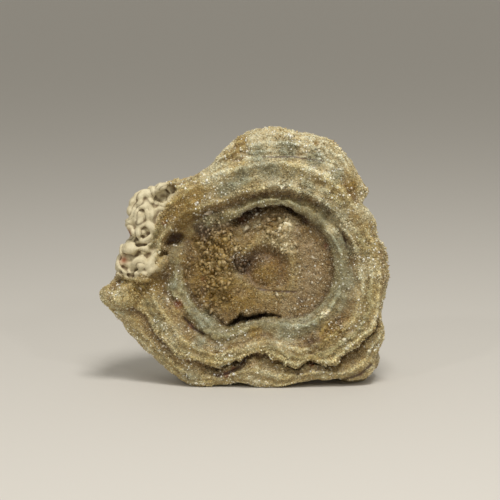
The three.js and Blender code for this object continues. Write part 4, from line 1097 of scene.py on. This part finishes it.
def new_group(name, inputs, outputs):
    group = bpy.data.node_groups.new(name, "ShaderNodeTree")
    for label, kind, value in inputs:
        socket = group.interface.new_socket(name=label, in_out="INPUT", socket_type=kind)
        socket.default_value = value
    for label, kind in outputs:
        group.interface.new_socket(name=label, in_out="OUTPUT", socket_type=kind)
    return group, group.nodes.new("NodeGroupInput"), group.nodes.new("NodeGroupOutput")


def add_node(tree, kind, values=None, **settings):
    node = tree.nodes.new(kind)
    for key, value in settings.items():
        setattr(node, key, value)
    for key, value in (values or {}).items():
        if isinstance(value, bpy.types.NodeSocket):
            tree.links.new(value, node.inputs[key])
        else:
            node.inputs[key].default_value = value
    return node


def maths(tree, operation, first, second=0.0, clamp=False):
    values = {0: first, 1: second}
    return add_node(tree, "ShaderNodeMath", values, operation=operation, use_clamp=clamp).outputs[0]


def grey(tree, tone):
    """One number as a colour."""
    return add_node(tree, "ShaderNodeCombineColor", {0: tone, 1: tone, 2: tone}).outputs[0]


def blended(tree, factor, first, second, blend="MIX"):
    node = add_node(tree, "ShaderNodeMix", data_type="RGBA", blend_type=blend)
    for socket, value in ((node.inputs[0], factor), (node.inputs[6], first), (node.inputs[7], second)):
        if isinstance(value, bpy.types.NodeSocket):
            tree.links.new(value, socket)
        else:
            socket.default_value = value
    return node.outputs[2]


def noise_at(tree, place, size_mm, detail=3.0):
    values = {"Vector": place, "Scale": 1 / (size_mm * MM), "Detail": detail, "Roughness": 0.6}
    return add_node(tree, "ShaderNodeTexNoise", values).outputs[0]


BAND_COLOURS = [
    (0.0, (160, 126, 64)), (1.0, (136, 110, 66)), (1.6, (150, 128, 84)), (2.0, (178, 160, 114)),
    (3.0, (148, 126, 80)), (4.0, (138, 116, 76)), (4.8, (130, 110, 74)), (5.2, (122, 104, 70)),
    (6.0, (146, 138, 108)), (7.0, (168, 162, 130)), (7.6, (156, 146, 112)), (8.0, (138, 118, 80)),
    (8.4, (156, 134, 92)), (9.0, (198, 184, 144)), (9.5, (168, 154, 114)), (10.0, (160, 148, 108)),
    (10.6, (188, 174, 130)), (11.0, (212, 198, 154)), (12.0, (184, 168, 124)), (13.0, (140, 116, 76)),
    (14.0, (158, 138, 98)), (15.0, (190, 176, 136)), (16.0, (192, 176, 134)), (17.0, (212, 196, 152)),
    (18.5, (190, 172, 130)), (21.0, (160, 142, 106)), (26.0, (164, 148, 116)),
]
THIN_LINES = 2.6
THIN_LINE_TONE = 0.06


def thin_lines(group, growth, wander):
    """The fine lines inside each band, as a tone round 1 that rises and falls along the growth."""
    bend = maths(group, "MULTIPLY", wander, 3.0)
    turns = maths(group, "ADD", maths(group, "MULTIPLY", growth, THIN_LINES), bend)
    wave = maths(group, "SINE", maths(group, "MULTIPLY", turns, 2 * math.pi))
    return maths(group, "ADD", maths(group, "MULTIPLY", wave, THIN_LINE_TONE), 1.0)


def band_group():
    group, given, made = new_group(
        "growth bands",
        [("Growth", "NodeSocketFloat", 0.0), ("Fray", "NodeSocketFloat", 0.5)],
        [("Colour", "NodeSocketColor")],
    )
    place = add_node(group, "ShaderNodeTexCoord").outputs["Object"]
    wander = maths(group, "SUBTRACT", noise_at(group, place, 3.2), 0.5)
    shift = maths(group, "MULTIPLY", wander, given.outputs["Fray"])
    share = maths(group, "DIVIDE", maths(group, "ADD", given.outputs["Growth"], shift), LINE_COUNT - 1, True)
    ramp = add_node(group, "ShaderNodeValToRGB", {"Fac": share})
    stops = ramp.color_ramp.elements
    while len(stops) < len(BAND_COLOURS):
        stops.new(0.5)
    for stop, (growth, colour) in zip(stops, BAND_COLOURS):
        stop.position = growth / (LINE_COUNT - 1)
        stop.color = linear(*colour)
    tone = thin_lines(group, given.outputs["Growth"], wander)
    colour = blended(group, 1.0, ramp.outputs["Color"], grey(group, tone), "MULTIPLY")
    group.links.new(colour, made.inputs["Colour"])
    return group


bands = band_group()
print("band colours:", len(BAND_COLOURS), "of lines:", LINE_COUNT)

# %% [markdown]
# ## Stains over the bands
# Each patch kind has one tint. The mask from the mesh is soft and round, so noise at two sizes is added
# before it is hardened, which turns the round mark into a frayed stain. The group takes the band colour, lets
# it drift slowly between cool and warm, lays the tints over it one after another, and gives back the result.

# %% Stains
TINTS = {
    "milk": (216, 212, 184), "gold": (152, 127, 58), "blue": (153, 155, 133), "pink": (166, 149, 118),
    "pale": (230, 222, 190),
    "brown": (92, 68, 36), "rust": (136, 78, 34),
}


def stain_group():
    inputs = [("Colour", "NodeSocketColor", (1, 1, 1, 1))]
    inputs += [(kind, "NodeSocketFloat", 0.0) for kind in TINTS]
    group, given, made = new_group("mineral stains", inputs, [("Colour", "NodeSocketColor")])
    place = add_node(group, "ShaderNodeTexCoord").outputs["Object"]
    coarse, fine = noise_at(group, place, 2.4), noise_at(group, place, 0.9)
    fray = maths(group, "SUBTRACT", maths(group, "ADD", coarse, fine), 1.0)
    slow = {"Value": noise_at(group, place, 4.2, 4.0), "From Min": 0.34, "From Max": 0.66}
    drift = add_node(group, "ShaderNodeMapRange", slow)
    cool_or_warm = blended(group, drift.outputs["Result"], (0.95, 1.01, 1.08, 1), (1.03, 1.0, 0.84, 1))
    colour = blended(group, 1.0, given.outputs["Colour"], cool_or_warm, "MULTIPLY")
    for kind, tint in TINTS.items():
        frayed = maths(group, "ADD", given.outputs[kind], maths(group, "MULTIPLY", fray, 0.45))
        node = add_node(
            group, "ShaderNodeMapRange", {"Value": frayed, "From Min": 0.15, "From Max": 0.85},
            interpolation_type="SMOOTHSTEP",
        )
        cover = maths(group, "MULTIPLY", node.outputs["Result"], 0.92)
        cover = maths(group, "MULTIPLY", cover, maths(group, "GREATER_THAN", given.outputs[kind], 0.02))
        colour = blended(group, cover, colour, linear(*tint))
    group.links.new(colour, made.inputs["Colour"])
    return group


stains = stain_group()
print("stain inputs:", [item.name for item in stains.interface.items_tree])

# %% [markdown]
# ## Grain
# Up close no two crystals have the same tone: some are clear and dark, some milky, some stained. A cell
# texture gives each half-millimetre cell its own random value, and finer noise speckles it. The group gives
# back a tone that multiplies the colour.

# %% Grain


def grain_group():
    group, given, made = new_group(
        "crystal grain",
        [("Colour", "NodeSocketColor", (1, 1, 1, 1)), ("Amount", "NodeSocketFloat", 0.4)],
        [("Colour", "NodeSocketColor"), ("Grain", "NodeSocketFloat")],
    )
    place = add_node(group, "ShaderNodeTexCoord").outputs["Object"]
    cell = add_node(group, "ShaderNodeTexVoronoi", {"Vector": place, "Scale": 1 / (0.42 * MM)})
    tone = add_node(group, "ShaderNodeSeparateColor", {"Color": cell.outputs["Color"]})
    speck = noise_at(group, place, 0.35, 2.0)
    speckle = maths(group, "MULTIPLY", speck, 0.4)
    value = maths(group, "ADD", maths(group, "MULTIPLY", tone.outputs[0], 0.6), speckle)
    spread = maths(group, "MULTIPLY", maths(group, "SUBTRACT", value, 0.5), given.outputs["Amount"])
    scale = maths(group, "ADD", spread, 1.0)
    warm = blended(group, tone.outputs[1], (0.95, 0.99, 1.05, 1), (1.05, 1.0, 0.93, 1))
    colour = blended(group, 1.0, given.outputs["Colour"], warm, "MULTIPLY")
    colour = blended(group, 1.0, colour, grey(group, scale), "MULTIPLY")
    group.links.new(colour, made.inputs["Colour"])
    group.links.new(value, made.inputs["Grain"])
    return group


grain = grain_group()
print("groups:", [g.name for g in bpy.data.node_groups])

# %% [markdown]
# ## Three finishes
# The stone between the crystals is duller than their tips, and painted darker as shade in the gaps. The
# crystals are the same stone, but glossy and a little translucent, from dull brown to milky by their own
# number, and the clearest carry a painted glint of near white. The rind is dry and chalky, with painted shade
# in its creases and between its wrinkles. Stone and rind share one material, mixed by the rind value, because
# they are one surface. Gloss is left to the shader, so it moves with the viewer; the painted glints do not.

# %% Stone and crystal materials


def attribute(tree, name):
    return add_node(tree, "ShaderNodeAttribute", attribute_name=name).outputs["Fac"]


def ranged(tree, value, low, high):
    """A value from 0 to 1 turned into one from low to high."""
    return add_node(tree, "ShaderNodeMapRange", {"Value": value, "To Min": low, "To Max": high}).outputs[0]


def banded_colour(tree, fray, grain_amount):
    band = add_node(tree, "ShaderNodeGroup", node_tree=bands)
    tree.links.new(attribute(tree, "growth"), band.inputs["Growth"])
    band.inputs["Fray"].default_value = fray
    stain = add_node(tree, "ShaderNodeGroup", node_tree=stains)
    tree.links.new(band.outputs["Colour"], stain.inputs["Colour"])
    for kind in TINTS:
        tree.links.new(attribute(tree, kind), stain.inputs[kind])
    speckle = add_node(tree, "ShaderNodeGroup", node_tree=grain)
    tree.links.new(stain.outputs["Colour"], speckle.inputs["Colour"])
    speckle.inputs["Amount"].default_value = grain_amount
    # Lighter, bluer ripple crests and warmer, darker sides: partly milky crystal tips, partly painted
    # highlight on the crests.
    crest = blended(tree, attribute(tree, "ripple"), (0.90, 0.86, 0.79, 1), (1.22, 1.26, 1.33, 1))
    colour = blended(tree, 1.0, speckle.outputs["Colour"], crest, "MULTIPLY")
    hollow = attribute(tree, "hollow")
    # Painted shade and light: darker and browner in the creases, lighter on the crests, by the hollow value.
    shade = blended(tree, hollow, (1.13, 1.16, 1.22, 1), (0.82, 0.74, 0.60, 1))
    colour = blended(tree, 1.0, colour, shade, "MULTIPLY")
    # Painted shade: the deepest creases are painted dark brown.
    deep = maths(tree, "MULTIPLY", maths(tree, "SUBTRACT", hollow, 0.92), 10.0, True)
    colour = blended(tree, maths(tree, "MULTIPLY", deep, 0.7), colour, linear(74, 50, 26))
    # Painted shadow: the thin cracks are painted dark red-brown.
    colour = blended(tree, attribute(tree, "crack"), colour, linear(70, 42, 22))
    return colour, speckle.outputs["Grain"]


def crystal_material():
    material = bpy.data.materials.new("quartz_crust")
    material.use_nodes = True
    tree = material.node_tree
    shader = tree.nodes["Principled BSDF"]
    colour, _ = banded_colour(tree, fray=0.7, grain_amount=0.5)
    single = attribute(tree, "crystal")
    dull = blended(tree, 1.0, colour, (0.54, 0.48, 0.37, 1), "MULTIPLY")
    bright = blended(tree, 1.0, colour, (1.34, 1.36, 1.38, 1), "MULTIPLY")
    milky = blended(tree, 0.12, bright, linear(240, 234, 214))
    toned = blended(tree, single, dull, milky)
    # Painted glint: the clearest crystals are blended towards near white, a painted highlight.
    glint = maths(tree, "POWER", single, 14.0)
    tree.links.new(blended(tree, glint, toned, linear(246, 243, 232)), shader.inputs["Base Color"])
    glossy = maths(tree, "POWER", single, 6.0)
    tree.links.new(ranged(tree, glossy, 0.38, 0.06), shader.inputs["Roughness"])
    shader.inputs["Subsurface Weight"].default_value = 0.3
    shader.inputs["Subsurface Radius"].default_value = (1.0, 0.8, 0.6)
    shader.inputs["Subsurface Scale"].default_value = 0.7 * MM
    return material


def stone_material():
    material = bpy.data.materials.new("chalcedony")
    material.use_nodes = True
    tree = material.node_tree
    shader = tree.nodes["Principled BSDF"]
    colour, value = banded_colour(tree, fray=0.6, grain_amount=0.8)
    # Painted shade: the stone between the crystals is darkened, as shade in the gaps.
    dark = blended(tree, 1.0, colour, (0.76, 0.73, 0.65, 1), "MULTIPLY")
    place = add_node(tree, "ShaderNodeTexCoord").outputs["Object"]
    blotch = noise_at(tree, place, 2.2, 5.0)
    chalk = blended(tree, blotch, linear(186, 170, 128), linear(240, 234, 204))
    speckled = blended(tree, maths(tree, "MULTIPLY", value, 0.3), chalk, linear(128, 106, 76))
    # Painted shade in the rind's creases, by the hollow value.
    painted_crease_shade = maths(tree, "MULTIPLY", maths(tree, "SUBTRACT", attribute(tree, "hollow"), 0.62), 2.2, True)
    creased = blended(tree, painted_crease_shade, speckled, linear(112, 86, 56))
    # Painted shade between the wrinkles of the rind clusters.
    painted_wrinkle_shade = maths(tree, "SUBTRACT", 1.0, maths(tree, "MULTIPLY", attribute(tree, "wrinkle"), 2.1), True)
    painted_wrinkle_shade = maths(tree, "MULTIPLY", painted_wrinkle_shade, maths(tree, "MULTIPLY", attribute(tree, "knobby"), 0.85))
    creased = blended(tree, painted_wrinkle_shade, creased, linear(96, 76, 48))
    rind = maths(tree, "MAXIMUM", attribute(tree, "rind"), attribute(tree, "knobby"))
    rusty = maths(tree, "MULTIPLY", attribute(tree, "rust"), 0.9)
    stained = blended(tree, rusty, creased, linear(150, 72, 26))
    tree.links.new(blended(tree, rind, dark, stained), shader.inputs["Base Color"])
    tree.links.new(ranged(tree, rind, 0.5, 0.72), shader.inputs["Roughness"])
    pores = {"Height": noise_at(tree, place, 0.45, 4.0), "Distance": 0.12 * MM, "Strength": 0.6}
    bump = add_node(tree, "ShaderNodeBump", pores)
    tree.links.new(bump.outputs["Normal"], shader.inputs["Normal"])
    return material


chalcedony, quartz = stone_material(), crystal_material()
for piece in stone_objects:
    piece.data.materials.append(chalcedony)
for piece in crystal_objects:
    piece.data.materials.append(quartz)
print("materials:", [m.name for m in bpy.data.materials])

# %% [markdown]
# ## The size of the stone
# The visual stone is meant to fill the box of the imported one; the size of its own box is printed.

# %% Size
low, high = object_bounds()
print("visual stone, mm:", [round(v / MM, 1) for v in (high - low)])
